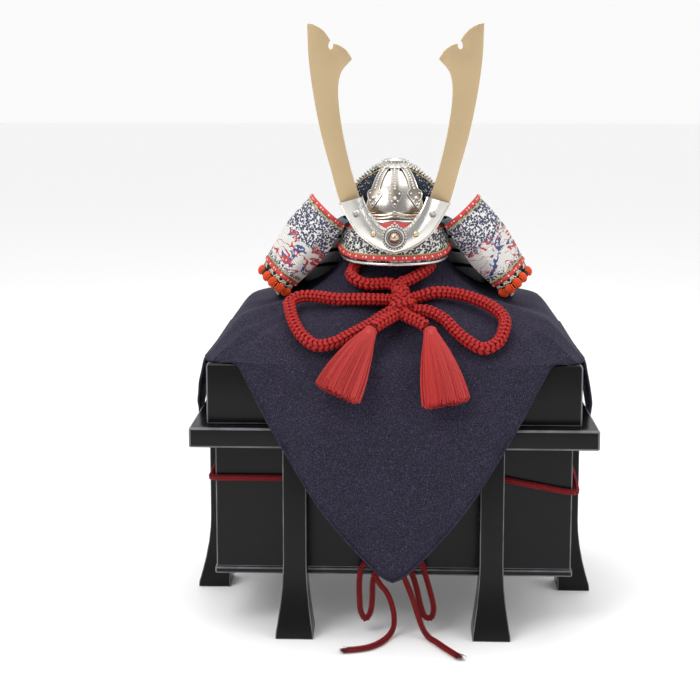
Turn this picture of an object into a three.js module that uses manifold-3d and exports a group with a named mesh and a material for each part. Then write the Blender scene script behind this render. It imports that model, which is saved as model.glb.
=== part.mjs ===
// A display kabuto (samurai helmet, one third of life size) on a draped cloth, a hidden stand
// and a six-legged lacquered chest. Millimetres, +Z up, +X right, the front faces -Y, and the
// origin is on the floor under the middle of the chest.

import * as THREE from 'three';
import { mergeVertices } from 'three/addons/utils/BufferGeometryUtils.js';
import Module from 'manifold-3d';

// Clearances
const seatGap = 0.3;            // between pieces that rest on or against each other
const lidPlay = 1.2;            // between the lid's skirt and the body

// Chest
const bodyWidth = 274;
const bodyDepth = 203;
const bodyWall = 4;
const bodyClearance = 43;       // floor to the underside of the base moulding
const baseHeight = 5;
const baseProud = 1.2;          // base moulding beyond the body
const railHeight = 15.5;
const railProud = 18;           // rail beyond the body
const railSeat = 147;           // height of the rail's underside over the floor
const lidHeight = 47.5;
const lidWall = 4.5;
const lidRound = 3;
const lidHeadroom = 7.5;        // from the body's upper edge to the lid's underside

// Legs
const legWidth = 18;
const legReach = 16.5;          // out from the body's face
const frontLegSpacing = 150;
const footFlareOut = 10;
const footFlareSide = 5.5;
const cordSlotHeight = 8;
const cordSlotDepth = 7;
const cordSlotLevel = 120;      // middle of the slots over the floor

// Helmet
const bowlRadius = 38.5;
const bowlRise = 40;            // from the bowl's rim to the crown
const bowlWall = 1.5;
const bowlStand = 103.7;        // height of the bowl's rim over the lid
const crownHole = 5;            // radius
const ridgeCount = 28;
const ridgeLift = 0.9;
const crownRingRadius = 9.5;
const crownRingHeight = 3.6;
const rosetteRadius = 18;
const rosettePetals = 12;
const trimThickness = 1;
const visorHalfAngle = 64;      // degrees, each side of the front
const visorPeakFront = 21.5;    // beyond the bowl's rim, at the front
const visorPeakSide = 10.5;
const visorDrop = 32;           // from the bowl's rim to the lower edge at the front
const visorCornerRise = 9;
const visorThickness = 1.8;
const rimRadius = 1.4;
const pipingRadius = 1.3;

// Crest
const hornBaseHalfWidth = 44.5;
const hornBaseHeight = 38;
const hornBaseDrop = 25.5;      // from the bowl's rim to its lowest tip
const hornBaseStand = 2.9;      // in front of the visor's lower edge
const hornBaseBend = 54;        // radius
const hornBaseThickness = 2.4;
const hornBaseBulge = 2.6;
const bossRadius = 9.8;
const bossDepth = 6;
const hornSpread = 69;          // middle plane to the tip
const hornRise = 156;
const hornFootDrop = 3;         // from the bowl's rim to the horns' lower ends
const hornThickness = 1.4;

// Neck guard and turn-backs
const lameCount = 5;
const lameThickness = 1.4;
const lameOverlap = 2;
const guardStand = 4.5;         // beyond the bowl's rim, at the top
const guardSpread = 55;         // from the top to the hem
const guardHemDrop = 65;        // from the bowl's rim
const guardFront = 27.2;         // distance of the lames' front ends from the helmet's axis
const turnbackThickness = 1.8;
const turnbackBulge = 13;
const turnbackDepth = 18;       // how far the free edge lies behind the inner edge
const turnbackFront = 30;

// Cloth and stand
const clothThickness = 1.2;
const clothRise = 4;            // over the bowl's rim, where the cloth leaves the stand's cap
const capRadius = 28;
const postRadius = 13;
const standFoot = 40;
const standFootHeight = 8;
const clothDropFront = 163;     // below the lid's top at the front and back tips
const clothDropSide = 69;
const clothSpreadFront = 118;   // half width of the front flap at the lid's edge
const clothSpreadSide = 88;
const clothClearance = 1.4;

// Cords
const chinCordRadius = 5;
const chestCordRadius = 2.5;
const tasselLength = 58;
const tasselWidth = 40;
const tasselDepth = 15;

// Levels and half sizes that follow from the sizes above
const bodyLevel = bodyClearance + baseHeight + seatGap;
const railLevel = railSeat + railHeight;
const lidLevel = railLevel + seatGap;
const lidTop = lidLevel + lidHeight;
const bodyHeight = lidTop - lidWall - lidHeadroom - bodyLevel;
const bowlLevel = lidTop + bowlStand;
const visorReachFront = bowlRadius + visorPeakFront;
const visorReachSide = bowlRadius + visorPeakSide;
const guardTopRadius = bowlRadius + guardStand;
const guardHemRadius = guardTopRadius + guardSpread;
const hornBaseLevel = bowlLevel - hornBaseDrop;
const hornBaseReach = visorReachFront + hornBaseStand;
const hornFoot = bowlLevel - hornFootDrop;
const guardHemLevel = bowlLevel - guardHemDrop;
const clothLevel = bowlLevel + clothRise;
const bodyHalf = { x: bodyWidth / 2, y: bodyDepth / 2 };
const railHalf = { x: bodyHalf.x + railProud, y: bodyHalf.y + railProud };
const lidHalf = { x: bodyHalf.x + lidPlay + lidWall, y: bodyHalf.y + lidPlay + lidWall };

const wasm = await Module();
wasm.setup();

const material = (color, roughness, metalness) =>
  new THREE.MeshStandardMaterial({ color, roughness, metalness });
const lacquer = material('#16161a', 0.28, 0);
const silver = material('#b9b8b2', 0.3, 1);
const gold = material('#c9ab74', 0.38, 1);
const leather = material('#d8d0c2', 0.6, 0);
const redCord = material('#b0161c', 0.75, 0);
const darkRedCord = material('#7d1a1c', 0.8, 0);
const navyCrepe = material('#23223f', 0.9, 0);
const wood = material('#8c7657', 0.7, 0);

// Geometry helpers

/** Linear look-up in a table of rows, by its first column, giving the named column. */
function lookUp(table, at, column) {
  const key = Object.keys(table[0])[0];
  const last = table[table.length - 1];
  if (at <= table[0][key]) return table[0][column];
  if (at >= last[key]) return last[column];
  const next = table.findIndex((row) => row[key] >= at);
  const [a, b] = [table[next - 1], table[next]];
  return a[column] + ((b[column] - a[column]) * (at - a[key])) / (b[key] - a[key]);
}

/** Closed geometry from points and triangles: vertices merged, slivers dropped, faces outward. */
function closed(points, triangles) {
  let geometry = new THREE.BufferGeometry();
  geometry.setAttribute('position', new THREE.Float32BufferAttribute(points.flat(), 3));
  geometry.setIndex(triangles.flat());
  geometry = mergeVertices(geometry, 1e-3);
  const position = geometry.getAttribute('position');
  const corner = (k) => new THREE.Vector3().fromBufferAttribute(position, k);
  const kept = [];
  let volume = 0;
  const { array } = geometry.index;
  for (let k = 0; k < array.length; k += 3) {
    const [a, b, c] = array.slice(k, k + 3);
    if (a === b || b === c || c === a) continue;
    kept.push([a, b, c]);
    volume += corner(a).dot(corner(b).cross(corner(c)));
  }
  geometry.setIndex((volume < 0 ? kept.map(([a, b, c]) => [a, c, b]) : kept).flat());
  return geometry;
}

/**
 * Solid wall between two surfaces over the unit square. A wrapped wall joins its last column
 * to its first, and a row whose points all coincide closes to a pole.
 */
function wall(columns, rows, face, back, wrap = false) {
  const across = wrap ? columns : columns + 1;
  const points = [];
  for (const surface of [face, back]) {
    for (let j = 0; j <= rows; j += 1) {
      for (let i = 0; i < across; i += 1) points.push(surface(i / columns, j / rows));
    }
  }
  const at = (side, i, j) => side * across * (rows + 1) + j * across + (wrap ? i % columns : i);
  const triangles = [];
  const quad = (a, b, c, d) => triangles.push([a, b, c], [a, c, d]);
  for (let i = 0; i < columns; i += 1) {
    for (let j = 0; j < rows; j += 1) {
      quad(at(0, i, j), at(0, i + 1, j), at(0, i + 1, j + 1), at(0, i, j + 1));
      quad(at(1, i, j), at(1, i, j + 1), at(1, i + 1, j + 1), at(1, i + 1, j));
    }
    quad(at(0, i + 1, 0), at(0, i, 0), at(1, i, 0), at(1, i + 1, 0));
    quad(at(0, i, rows), at(0, i + 1, rows), at(1, i + 1, rows), at(1, i, rows));
  }
  for (let j = 0; !wrap && j < rows; j += 1) {
    quad(at(0, 0, j), at(0, 0, j + 1), at(1, 0, j + 1), at(1, 0, j));
    quad(at(0, columns, j + 1), at(0, columns, j), at(1, columns, j), at(1, columns, j + 1));
  }
  return closed(points, triangles);
}

/** Solid of revolution-like rows of points that close to a pole at both ends. */
function blob(columns, rows, surface) {
  const points = [];
  for (let j = 0; j <= rows; j += 1) {
    for (let i = 0; i < columns; i += 1) points.push(surface(i / columns, j / rows));
  }
  const triangles = [];
  for (let j = 0; j < rows; j += 1) {
    for (let i = 0; i < columns; i += 1) {
      const [a, b] = [j * columns + i, j * columns + ((i + 1) % columns)];
      triangles.push([a, b, b + columns], [a, b + columns, a + columns]);
    }
  }
  return closed(points, triangles);
}

/** The surface moved along its own normal by a distance. */
function offset(surface, distance) {
  const step = 0.01;
  return (u, v) => {
    const [u0, u1] = [Math.max(u - step, 0), Math.min(u + step, 1)];
    const [v0, v1] = [Math.max(v - step, 0), Math.min(v + step, 1)];
    const across = new THREE.Vector3(...surface(u1, v)).sub(new THREE.Vector3(...surface(u0, v)));
    const along = new THREE.Vector3(...surface(u, v1)).sub(new THREE.Vector3(...surface(u, v0)));
    const normal = across.cross(along).normalize().multiplyScalar(distance);
    const [x, y, z] = surface(u, v);
    return [x + normal.x, y + normal.y, z + normal.z];
  };
}

/** Boolean work on merged geometries, done by the solid library. */
function solid(geometry) {
  const bare = geometry.clone();
  bare.deleteAttribute('normal');
  bare.deleteAttribute('uv');
  const merged = mergeVertices(bare, 1e-4);
  return new wasm.Manifold(new wasm.Mesh({
    numProp: 3,
    vertProperties: new Float32Array(merged.getAttribute('position').array),
    triVerts: new Uint32Array(merged.index.array),
  }));
}

function fromSolid(body) {
  const { vertProperties, triVerts } = body.getMesh();
  const geometry = new THREE.BufferGeometry();
  geometry.setAttribute('position', new THREE.Float32BufferAttribute(vertProperties, 3));
  geometry.setIndex([...triVerts]);
  return geometry;
}

const subtract = (geometry, ...cuts) =>
  fromSolid(cuts.reduce((body, cut) => body.subtract(solid(cut)), solid(geometry)));

/** Box between two corners. */
function block([x0, y0, z0], [x1, y1, z1]) {
  const box = new THREE.BoxGeometry(x1 - x0, y1 - y0, z1 - z0);
  return box.translate((x0 + x1) / 2, (y0 + y1) / 2, (z0 + z1) / 2);
}

/** Curve whose steps fall evenly between its points, so that a bend with more points gets more. */
class Route extends THREE.CatmullRomCurve3 {
  getPointAt(t, target) { return this.getPoint(t, target); }

  getTangentAt(t, target) { return this.getTangent(t, target); }
}

/** Round tube through a list of points, with a number of steps from each point to the next. */
function tube(points, radius, stepsEach, sides = 8) {
  const path = new Route(points.map((p) => new THREE.Vector3(...p)), false, 'centripetal');
  const steps = (points.length - 1) * stepsEach;
  const section = new THREE.Shape();
  for (let k = 0; k < sides; k += 1) {
    const turn = (2 * Math.PI * (k + 0.5)) / sides;
    const [x, y] = [radius * Math.cos(turn), radius * Math.sin(turn)];
    if (k === 0) section.moveTo(x, y); else section.lineTo(x, y);
  }
  section.closePath();
  const geometry = new THREE.ExtrudeGeometry(section, { steps, extrudePath: path });
  geometry.deleteAttribute('normal');
  geometry.deleteAttribute('uv');
  return mergeVertices(geometry, 1e-4);
}

const object = new THREE.Group();

function add(name, geometry, finish) {
  const mesh = new THREE.Mesh(geometry, finish);
  mesh.name = name;
  object.add(mesh);
  return mesh;
}

const rad = THREE.MathUtils.degToRad;
const mirrored = (surface) => (u, v) => {
  const [x, y, z] = surface(u, v);
  return [-x, y, z];
};

// Chest

add('chest_base', block(
  [-bodyHalf.x - baseProud, -bodyHalf.y - baseProud, bodyClearance],
  [bodyHalf.x + baseProud, bodyHalf.y + baseProud, bodyClearance + baseHeight],
), lacquer);

add('chest_body', subtract(
  block([-bodyHalf.x, -bodyHalf.y, bodyLevel], [bodyHalf.x, bodyHalf.y, bodyLevel + bodyHeight]),
  block(
    [-bodyHalf.x + bodyWall, -bodyHalf.y + bodyWall, bodyLevel + bodyWall],
    [bodyHalf.x - bodyWall, bodyHalf.y - bodyWall, bodyLevel + bodyHeight + 1],
  ),
), lacquer);

add('chest_rail', subtract(
  block([-railHalf.x, -railHalf.y, railSeat], [railHalf.x, railHalf.y, railLevel]),
  block(
    [-bodyHalf.x - seatGap, -bodyHalf.y - seatGap, railSeat - 1],
    [bodyHalf.x + seatGap, bodyHalf.y + seatGap, railLevel + 1],
  ),
), lacquer);

/** Lid's outer form: a box whose upper edges are rounded over. */
function lidShell() {
  const corners = [[-1, -1], [1, -1], [1, 1], [-1, 1]];
  const rings = [{ inset: 0, z: lidLevel }];
  for (let k = 0; k <= 3; k += 1) {
    const turn = (k * Math.PI) / 6;
    rings.push({
      inset: lidRound * (1 - Math.cos(turn)),
      z: lidTop - lidRound * (1 - Math.sin(turn)),
    });
  }
  const ring = ({ inset, z }, k) => {
    const [sx, sy] = corners[k % 4];
    return [sx * (lidHalf.x - inset), sy * (lidHalf.y - inset), z];
  };
  return blob(4, rings.length + 1, (u, v) => {
    const row = Math.round(v * (rings.length + 1));
    if (row === 0) return [0, 0, lidLevel];
    if (row > rings.length) return [0, 0, lidTop];
    return ring(rings[row - 1], Math.round(u * 4));
  });
}

add('chest_lid', subtract(lidShell(), block(
  [-lidHalf.x + lidWall, -lidHalf.y + lidWall, lidLevel - 1],
  [lidHalf.x - lidWall, lidHalf.y - lidWall, lidTop - lidWall],
)), lacquer);

// Sections of a leg from the floor up, as shares of its height and of the foot's flare.
const legSections = [
  { height: 0, flare: 1 },
  { height: 0.03, flare: 0.97 },
  { height: 0.09, flare: 0.72 },
  { height: 0.17, flare: 0.42 },
  { height: 0.26, flare: 0.17 },
  { height: 0.34, flare: 0.04 },
  { height: 0.4, flare: 0 },
  { height: 1, flare: 0 },
];

/** Leg against the face y = 0, reaching towards -y, slotted for the chest cord. */
function leg() {
  const height = railSeat - seatGap;
  const rows = legSections.length - 1;
  const back = (u, v) => {
    const { height: share, flare } = legSections[Math.round(v * rows)];
    return [(u * 2 - 1) * (legWidth / 2 + flare * footFlareSide), 0, share * height];
  };
  const face = (u, v) => {
    const [x, , z] = back(u, v);
    return [x, -legReach - legSections[Math.round(v * rows)].flare * footFlareOut, z];
  };
  const slot = block(
    [-legWidth, -cordSlotDepth, cordSlotLevel - cordSlotHeight / 2],
    [legWidth, 1, cordSlotLevel + cordSlotHeight / 2],
  );
  return subtract(wall(1, rows, face, back), slot);
}

const legPlaces = [
  { name: 'leg_front_left', x: -frontLegSpacing / 2, y: -bodyHalf.y - seatGap, turn: 0 },
  { name: 'leg_front_right', x: frontLegSpacing / 2, y: -bodyHalf.y - seatGap, turn: 0 },
  { name: 'leg_side_right', x: bodyHalf.x + seatGap, y: 0, turn: 90 },
  { name: 'leg_back_right', x: frontLegSpacing / 2, y: bodyHalf.y + seatGap, turn: 180 },
  { name: 'leg_back_left', x: -frontLegSpacing / 2, y: bodyHalf.y + seatGap, turn: 180 },
  { name: 'leg_side_left', x: -bodyHalf.x - seatGap, y: 0, turn: 270 },
];
for (const { name, x, y, turn } of legPlaces) {
  const mesh = add(name, subtract(leg(), block(
    [-legWidth, -baseProud - seatGap, bodyClearance - seatGap],
    [legWidth, 1, bodyClearance + baseHeight + seatGap],
  )), lacquer);
  mesh.position.set(x, y, 0);
  mesh.rotation.z = rad(turn);
}

// Bowl: an ellipse turned about the helmet's axis, t runs from the rim (0) to the crown (1)

const crownShare = 1 - (2 / Math.PI) * Math.asin(crownHole / bowlRadius);

/** Point on the bowl. Azimuth 0 is the front and turns towards +X; lift is outward. */
function onBowl(azimuth, t, lift = 0) {
  const turn = (t * Math.PI) / 2;
  const radius = (bowlRadius + lift) * Math.cos(turn);
  return [
    radius * Math.sin(azimuth),
    -radius * Math.cos(azimuth),
    bowlLevel + (bowlRise + lift) * Math.sin(turn),
  ];
}

add('bowl', wall(ridgeCount * 2, 5,
  (u, v) => {
    const onRidge = Math.round(u * ridgeCount * 2) % 2 === 0;
    return onBowl(u * 2 * Math.PI, v * crownShare, onRidge ? ridgeLift : 0);
  },
  (u, v) => onBowl(u * 2 * Math.PI, v * crownShare, -bowlWall),
  true), lacquer);

const trimLift = ridgeLift + seatGap;
const frontPlateOutline = [
  { along: 0.06, halfAngle: 37 },
  { along: 0.2, halfAngle: 36 },
  { along: 0.38, halfAngle: 31 },
  { along: 0.55, halfAngle: 28 },
  { along: 0.7, halfAngle: 30 },
];
add('front_plate', wall(10, 6,
  (u, v) => {
    const t = 0.06 + v * 0.64;
    const half = rad(lookUp(frontPlateOutline, t, 'halfAngle'));
    return onBowl((u * 2 - 1) * half, t, trimLift + trimThickness);
  },
  (u, v) => {
    const t = 0.06 + v * 0.64;
    const half = rad(lookUp(frontPlateOutline, t, 'halfAngle'));
    return onBowl((u * 2 - 1) * half, t, trimLift);
  }), silver);

// Beaded ridge with an arrow head: along the bowl from the head's tip to the crown.
const arrowOutline = [
  { along: 0, halfWidth: 0.4 },
  { along: 0.14, halfWidth: 3.2 },
  { along: 0.3, halfWidth: 6.2 },
  { along: 0.36, halfWidth: 5.6 },
  { along: 0.4, halfWidth: 3.6 },
  { along: 1, halfWidth: 3.4 },
];
const arrowStart = 0.12;
const arrowEnd = 0.72;
const arrowPlaces = [
  { name: 'ridge_arrow_left', azimuth: -26 },
  { name: 'ridge_arrow_centre', azimuth: 0 },
  { name: 'ridge_arrow_right', azimuth: 26 },
];
for (const { name, azimuth } of arrowPlaces) {
  const base = trimLift + trimThickness + seatGap;
  const ridge = (lift, crown) => (u, v) => {
    const t = arrowStart + v * (arrowEnd - arrowStart);
    const halfWidth = lookUp(arrowOutline, v, 'halfWidth');
    const radius = bowlRadius * Math.cos((t * Math.PI) / 2);
    const side = u * 2 - 1;
    return onBowl(rad(azimuth) + (side * halfWidth) / radius, t,
      base + lift + crown * (1 - side * side));
  };
  add(name, wall(2, 9, ridge(0.6, 0.9), ridge(0, 0)), silver);
}

// Crown ring over a rosette with petals
const crownLevel = onBowl(0, crownShare, 0)[2];
const rosetteTurn = Math.acos(Math.min(1, rosetteRadius / (bowlRadius + trimLift)));
const rosetteSurface = (lift) => (u, v) => {
  const petal = 1 - 0.13 * Math.abs(Math.sin(u * Math.PI * rosettePetals));
  const start = 1 - (1 - (2 * rosetteTurn) / Math.PI) * petal;
  return onBowl(u * 2 * Math.PI, start + v * (crownShare - start), lift);
};
const rosetteBase = trimLift + trimThickness + seatGap + 1.5 + seatGap;
add('crown_rosette', wall(rosettePetals * 4, 1, rosetteSurface(rosetteBase + trimThickness),
  rosetteSurface(rosetteBase), true), silver);

const ringFoot = onBowl(0, crownShare, 0)[2] + rosetteBase + trimThickness;
const ringProfile = [
  { radius: 0.62, height: 0 },
  { radius: 1, height: 0 },
  { radius: 1.02, height: 0.35 },
  { radius: 0.9, height: 0.85 },
  { radius: 0.76, height: 1 },
  { radius: 0.66, height: 0.8 },
  { radius: 0.62, height: 0 },
];
add('crown_ring', closedLathe(ringProfile.map(({ radius, height }) =>
  [radius * crownRingRadius, ringFoot + 0.1 + height * crownRingHeight]), 28), silver);

/** Ring turned about +Z from a closed profile of radius and height. */
function closedLathe(profile, segments) {
  const geometry = new THREE.LatheGeometry(
    profile.map(([radius, height]) => new THREE.Vector2(radius, height)), segments);
  geometry.rotateX(Math.PI / 2);
  geometry.deleteAttribute('normal');
  geometry.deleteAttribute('uv');
  const { array } = geometry.getAttribute('position');
  const points = [];
  for (let k = 0; k < array.length; k += 3) points.push([...array.slice(k, k + 3)]);
  const triangles = [];
  const indices = geometry.index.array;
  for (let k = 0; k < indices.length; k += 3) triangles.push([...indices.slice(k, k + 3)]);
  return closed(points, triangles);
}

// Visor: u runs round the front, v from the bowl outward and down

const visorInner = bowlRadius + ridgeLift + seatGap;
function visorSurface(lift) {
  return (u, v) => {
    const side = u * 2 - 1;
    const azimuth = side * rad(visorHalfAngle);
    const reach = visorReachFront + (visorReachSide - visorReachFront) * side * side;
    const lower = bowlLevel - visorDrop + visorCornerRise * side ** 4;
    const radius = visorInner + (reach - visorInner) * v;
    const bulge = 2.2 * Math.sin(Math.PI * v);
    const slope = Math.atan2(bowlLevel - lower, reach - visorInner);
    const out = radius + (bulge + lift) * Math.sin(slope);
    const z = bowlLevel + (lower - bowlLevel) * v + (bulge + lift) * Math.cos(slope);
    return [out * Math.sin(azimuth), -out * Math.cos(azimuth), z];
  };
}
add('visor', wall(20, 3, visorSurface(0), visorSurface(-visorThickness)), leather);

/** Points along a surface's line of constant v. */
const alongLine = (surface, v, count) =>
  Array.from({ length: count }, (_, k) => surface(k / (count - 1), v));

const visorRimLine = visorSurface(-visorThickness / 2);
add('visor_rim', tube(alongLine((u) => {
  const [x, y, z] = visorRimLine(u, 1);
  const stretch = 1 + (rimRadius + seatGap) / Math.hypot(x, y);
  return [x * stretch, y * stretch, z - (rimRadius + seatGap) * 0.8];
}, 1, 19), rimRadius, 1), silver);
add('visor_piping', tube(alongLine(visorSurface(pipingRadius + seatGap), 0.9, 19),
  pipingRadius, 1), redCord);

// Horn base: stations from one upper corner round the lowest point to the other. Shares are of
// the half width and of the height over the lowest tip.
const hornBaseStations = [
  { side: -1, outerX: 1, outerZ: 1, innerX: 0.565, innerZ: 1.16 },
  { side: -0.86, outerX: 0.89, outerZ: 0.8, innerX: 0.48, innerZ: 0.93 },
  { side: -0.6, outerX: 0.67, outerZ: 0.42, innerX: 0.37, innerZ: 0.74 },
  { side: -0.42, outerX: 0.5, outerZ: 0.25, innerX: 0.27, innerZ: 0.6 },
  { side: -0.22, outerX: 0.28, outerZ: 0.1, innerX: 0.15, innerZ: 0.52 },
  { side: 0, outerX: 0, outerZ: 0, innerX: 0, innerZ: 0.5 },
];
function hornBasePlane(x, z) {
  const bend = (x * x) / (2 * hornBaseBend);
  return -hornBaseReach + bend + 0.1 * (z - hornBaseLevel);
}
function hornBaseSurface(depth) {
  return (u, v) => {
    const side = u * 2 - 1;
    const row = (column) => lookUp(hornBaseStations, -Math.abs(side), column);
    const x = Math.sign(side) * hornBaseHalfWidth *
      (row('innerX') + (row('outerX') - row('innerX')) * v);
    const z = hornBaseLevel + hornBaseHeight *
      (row('innerZ') + (row('outerZ') - row('innerZ')) * v);
    const bulge = hornBaseBulge * Math.sin(Math.PI * v);
    return [x, hornBasePlane(x, z) - bulge + depth, z];
  };
}
add('horn_base', wall(20, 4, hornBaseSurface(0), hornBaseSurface(hornBaseThickness)), silver);

const bossLevel = hornBaseLevel + hornBaseHeight * 0.35;
const bossProfile = [
  { radius: 0, depth: 1 },
  { radius: 0.32, depth: 0.92 },
  { radius: 0.5, depth: 0.66 },
  { radius: 0.56, depth: 0.42 },
  { radius: 0.7, depth: 0.6 },
  { radius: 0.84, depth: 0.5 },
  { radius: 1, depth: 0.28 },
  { radius: 1, depth: 0 },
  { radius: 0, depth: 0 },
];
const boss = add('horn_base_boss', closedLathe(bossProfile.map(({ radius, depth }) =>
  [radius * bossRadius, depth * bossDepth]), 28), silver);
boss.rotation.x = Math.PI / 2;
boss.position.set(0, hornBasePlane(0, bossLevel) - hornBaseBulge - 2 * seatGap, bossLevel);

const studProfile = [
  { radius: 0, height: 1 },
  { radius: 0.6, height: 0.8 },
  { radius: 1, height: 0 },
  { radius: 0, height: 0 },
];
const studPlaces = [
  { name: 'horn_base_stud_1', u: 0.09, v: 0.55, radius: 2.4 },
  { name: 'horn_base_stud_2', u: 0.3, v: 0.5, radius: 2 },
  { name: 'horn_base_stud_3', u: 0.7, v: 0.5, radius: 2 },
  { name: 'horn_base_stud_4', u: 0.91, v: 0.55, radius: 2.4 },
];
for (const { name, u, v, radius } of studPlaces) {
  const stud = add(name, closedLathe(studProfile.map((row) =>
    [row.radius * radius, row.height * 1.8]), 12), gold);
  const [x, y, z] = hornBaseSurface(0)(u, v);
  stud.rotation.x = Math.PI / 2;
  stud.position.set(x, y - seatGap - 0.9, z);
}

// Horns: outline of one horn, spread as a share of the tip's distance from the middle plane
// and rise as a share of the horn's height.
const hornOutline = [
  { spread: 0.6, rise: 0 },
  { spread: 0.62, rise: 0.1 },
  { spread: 0.735, rise: 0.27 },
  { spread: 0.845, rise: 0.45 },
  { spread: 0.93, rise: 0.64 },
  { spread: 0.985, rise: 0.83 },
  { spread: 1.0, rise: 1 },
  { spread: 0.93, rise: 0.994 },
  { spread: 0.82, rise: 0.965 },
  { spread: 0.735, rise: 0.915 },
  { spread: 0.755, rise: 0.9 },
  { spread: 0.76, rise: 0.884 },
  { spread: 0.745, rise: 0.872 },
  { spread: 0.722, rise: 0.872 },
  { spread: 0.706, rise: 0.884 },
  { spread: 0.708, rise: 0.9 },
  { spread: 0.645, rise: 0.893 },
  { spread: 0.56, rise: 0.868 },
  { spread: 0.49, rise: 0.823 },
  { spread: 0.61, rise: 0.76 },
  { spread: 0.645, rise: 0.7 },
  { spread: 0.645, rise: 0.61 },
  { spread: 0.59, rise: 0.44 },
  { spread: 0.49, rise: 0.25 },
  { spread: 0.4, rise: 0.12 },
  { spread: 0.36, rise: 0 },
];
// The horns stand against the back of the base's upper corners.
const hornEdge = 0.625 * hornSpread;
const socketBack = hornBaseThickness +
  hornBasePlane(hornEdge, hornBaseLevel + 0.95 * hornBaseHeight);
const hornPlane = socketBack + seatGap + hornThickness;
for (const side of [-1, 1]) {
  const shape = new THREE.Shape(hornOutline.map(({ spread, rise }) =>
    new THREE.Vector2(side * spread * hornSpread, rise * hornRise)));
  const geometry = new THREE.ExtrudeGeometry(shape, {
    depth: hornThickness, bevelEnabled: false,
  });
  geometry.deleteAttribute('normal');
  geometry.deleteAttribute('uv');
  const horn = add(side < 0 ? 'horn_left' : 'horn_right', mergeVertices(geometry), gold);
  horn.rotation.x = Math.PI / 2;
  horn.position.set(0, hornPlane, hornFoot);
}

// Neck guard: lame edges lie on a curve that flares from the bowl to the hem.
const guardProfile = [
  { share: 0, radius: 0, level: 0 },
  { share: 0.2, radius: 0.18, level: 0.16 },
  { share: 0.4, radius: 0.37, level: 0.35 },
  { share: 0.6, radius: 0.56, level: 0.55 },
  { share: 0.8, radius: 0.78, level: 0.77 },
  { share: 1, radius: 1, level: 1 },
];
const guardTopLevel = bowlLevel - 1;
for (let k = 0; k < lameCount; k += 1) {
  const edge = (share) => [
    guardTopRadius + (guardHemRadius - guardTopRadius) * lookUp(guardProfile, share, 'radius'),
    guardTopLevel + (guardHemLevel - guardTopLevel) * lookUp(guardProfile, share, 'level'),
  ];
  const [innerRadius, innerLevel] = edge(k / lameCount);
  const [outerRadius, outerLevel] = edge((k + 1) / lameCount);
  const step = lameThickness + 4 * seatGap;
  const lame = (lift) => (u, v) => {
    const share = v + (k > 0 ? -lameOverlap * (1 - v) / (outerRadius - innerRadius) : 0);
    const radius = innerRadius + (outerRadius - innerRadius) * share;
    const half = Math.PI - Math.acos(Math.min(1, guardFront / radius));
    const azimuth = Math.PI + (u * 2 - 1) * half;
    const tuck = -step * (1 - v);
    const z = innerLevel + (outerLevel - innerLevel) * share + tuck + lift;
    return [radius * Math.sin(azimuth), -radius * Math.cos(azimuth), z];
  };
  add(`neck_lame_${k + 1}`, wall(28, 1, lame(lameThickness), lame(0)), lacquer);
}

// Turn-backs: u runs from the inner edge outward, v from the top edge down. Corners are given by
// their distance beyond the bowl's side and their height over its rim.
const turnbackCorners = {
  topInner: [3, -8], topOuter: [30, 15.5],
  lowInner: [40, -54], lowOuter: [65.5, -33.5],
};
const turnbackSection = [
  { across: 0, forward: 0.1, back: 0 },
  { across: 0.15, forward: 0.52, back: 0.04 },
  { across: 0.35, forward: 0.93, back: 0.14 },
  { across: 0.55, forward: 1, back: 0.32 },
  { across: 0.75, forward: 0.82, back: 0.55 },
  { across: 0.92, forward: 0.5, back: 0.8 },
  { across: 1, forward: 0.1, back: 1 },
];
function turnbackSurface(u, v) {
  const mix = (a, b, t) => a + (b - a) * t;
  const corner = (k) => mix(
    mix(turnbackCorners.topInner[k], turnbackCorners.topOuter[k], u),
    mix(turnbackCorners.lowInner[k], turnbackCorners.lowOuter[k], u), v);
  const bow = 4 * Math.sin(Math.PI * v) * (u * 2 - 1);
  const y = -turnbackFront - turnbackBulge * lookUp(turnbackSection, u, 'forward') +
    turnbackDepth * lookUp(turnbackSection, u, 'back') + 4 * v;
  return [bowlRadius + corner(0) + 0.6 * bow, y, bowlLevel + corner(1) + 0.5 * bow];
}
for (const [name, shape] of [['left', mirrored(turnbackSurface)], ['right', turnbackSurface]]) {
  const inward = name === 'left' ? -1 : 1;
  add(`turnback_${name}`, wall(10, 6, shape, offset(shape, inward * turnbackThickness)), leather);
  for (const [edge, v, outward] of [['top', 0, -1], ['low', 1, 1]]) {
    const line = alongLine((u) => {
      const [x, y, z] = shape(u, v);
      const [x1, , z1] = shape(u, v + (v === 0 ? 0.1 : -0.1));
      const length = Math.hypot(x - x1, z - z1);
      const shift = pipingRadius + 0.2 + seatGap;
      return [x + ((x - x1) / length) * shift, y + outward * 0, z + ((z - z1) / length) * shift];
    }, 0, 9);
    add(`turnback_piping_${edge}_${name}`, tube(line, pipingRadius + 0.2, 1), redCord);
  }
}

// Stand and cloth

const capLift = -bowlWall - 3 * seatGap - clothThickness;
const capShare = 0.52;          // where the cap leaves the bowl's inside, along the meridian
const capRows = 3;
const capFoot = clothLevel - 6;
const capPoints = [
  [0, capFoot], [capRadius - 3, capFoot], [capRadius - clothThickness - seatGap, clothLevel],
];
for (let k = 0; k <= capRows; k += 1) {
  const [, y, z] = onBowl(0, capShare + ((1 - capShare) * k) / capRows, capLift);
  capPoints.push([-y, z]);
}
capPoints[capPoints.length - 1][0] = 0;
add('stand_cap', closedLathe(capPoints, 24), wood);
add('stand_post', closedLathe([
  [0, lidTop + seatGap], [standFoot, lidTop + seatGap],
  [standFoot, lidTop + seatGap + standFootHeight],
  [postRadius, lidTop + seatGap + standFootHeight + 2],
  [postRadius, capFoot - seatGap], [0, capFoot - seatGap],
], 20), wood);

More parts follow.
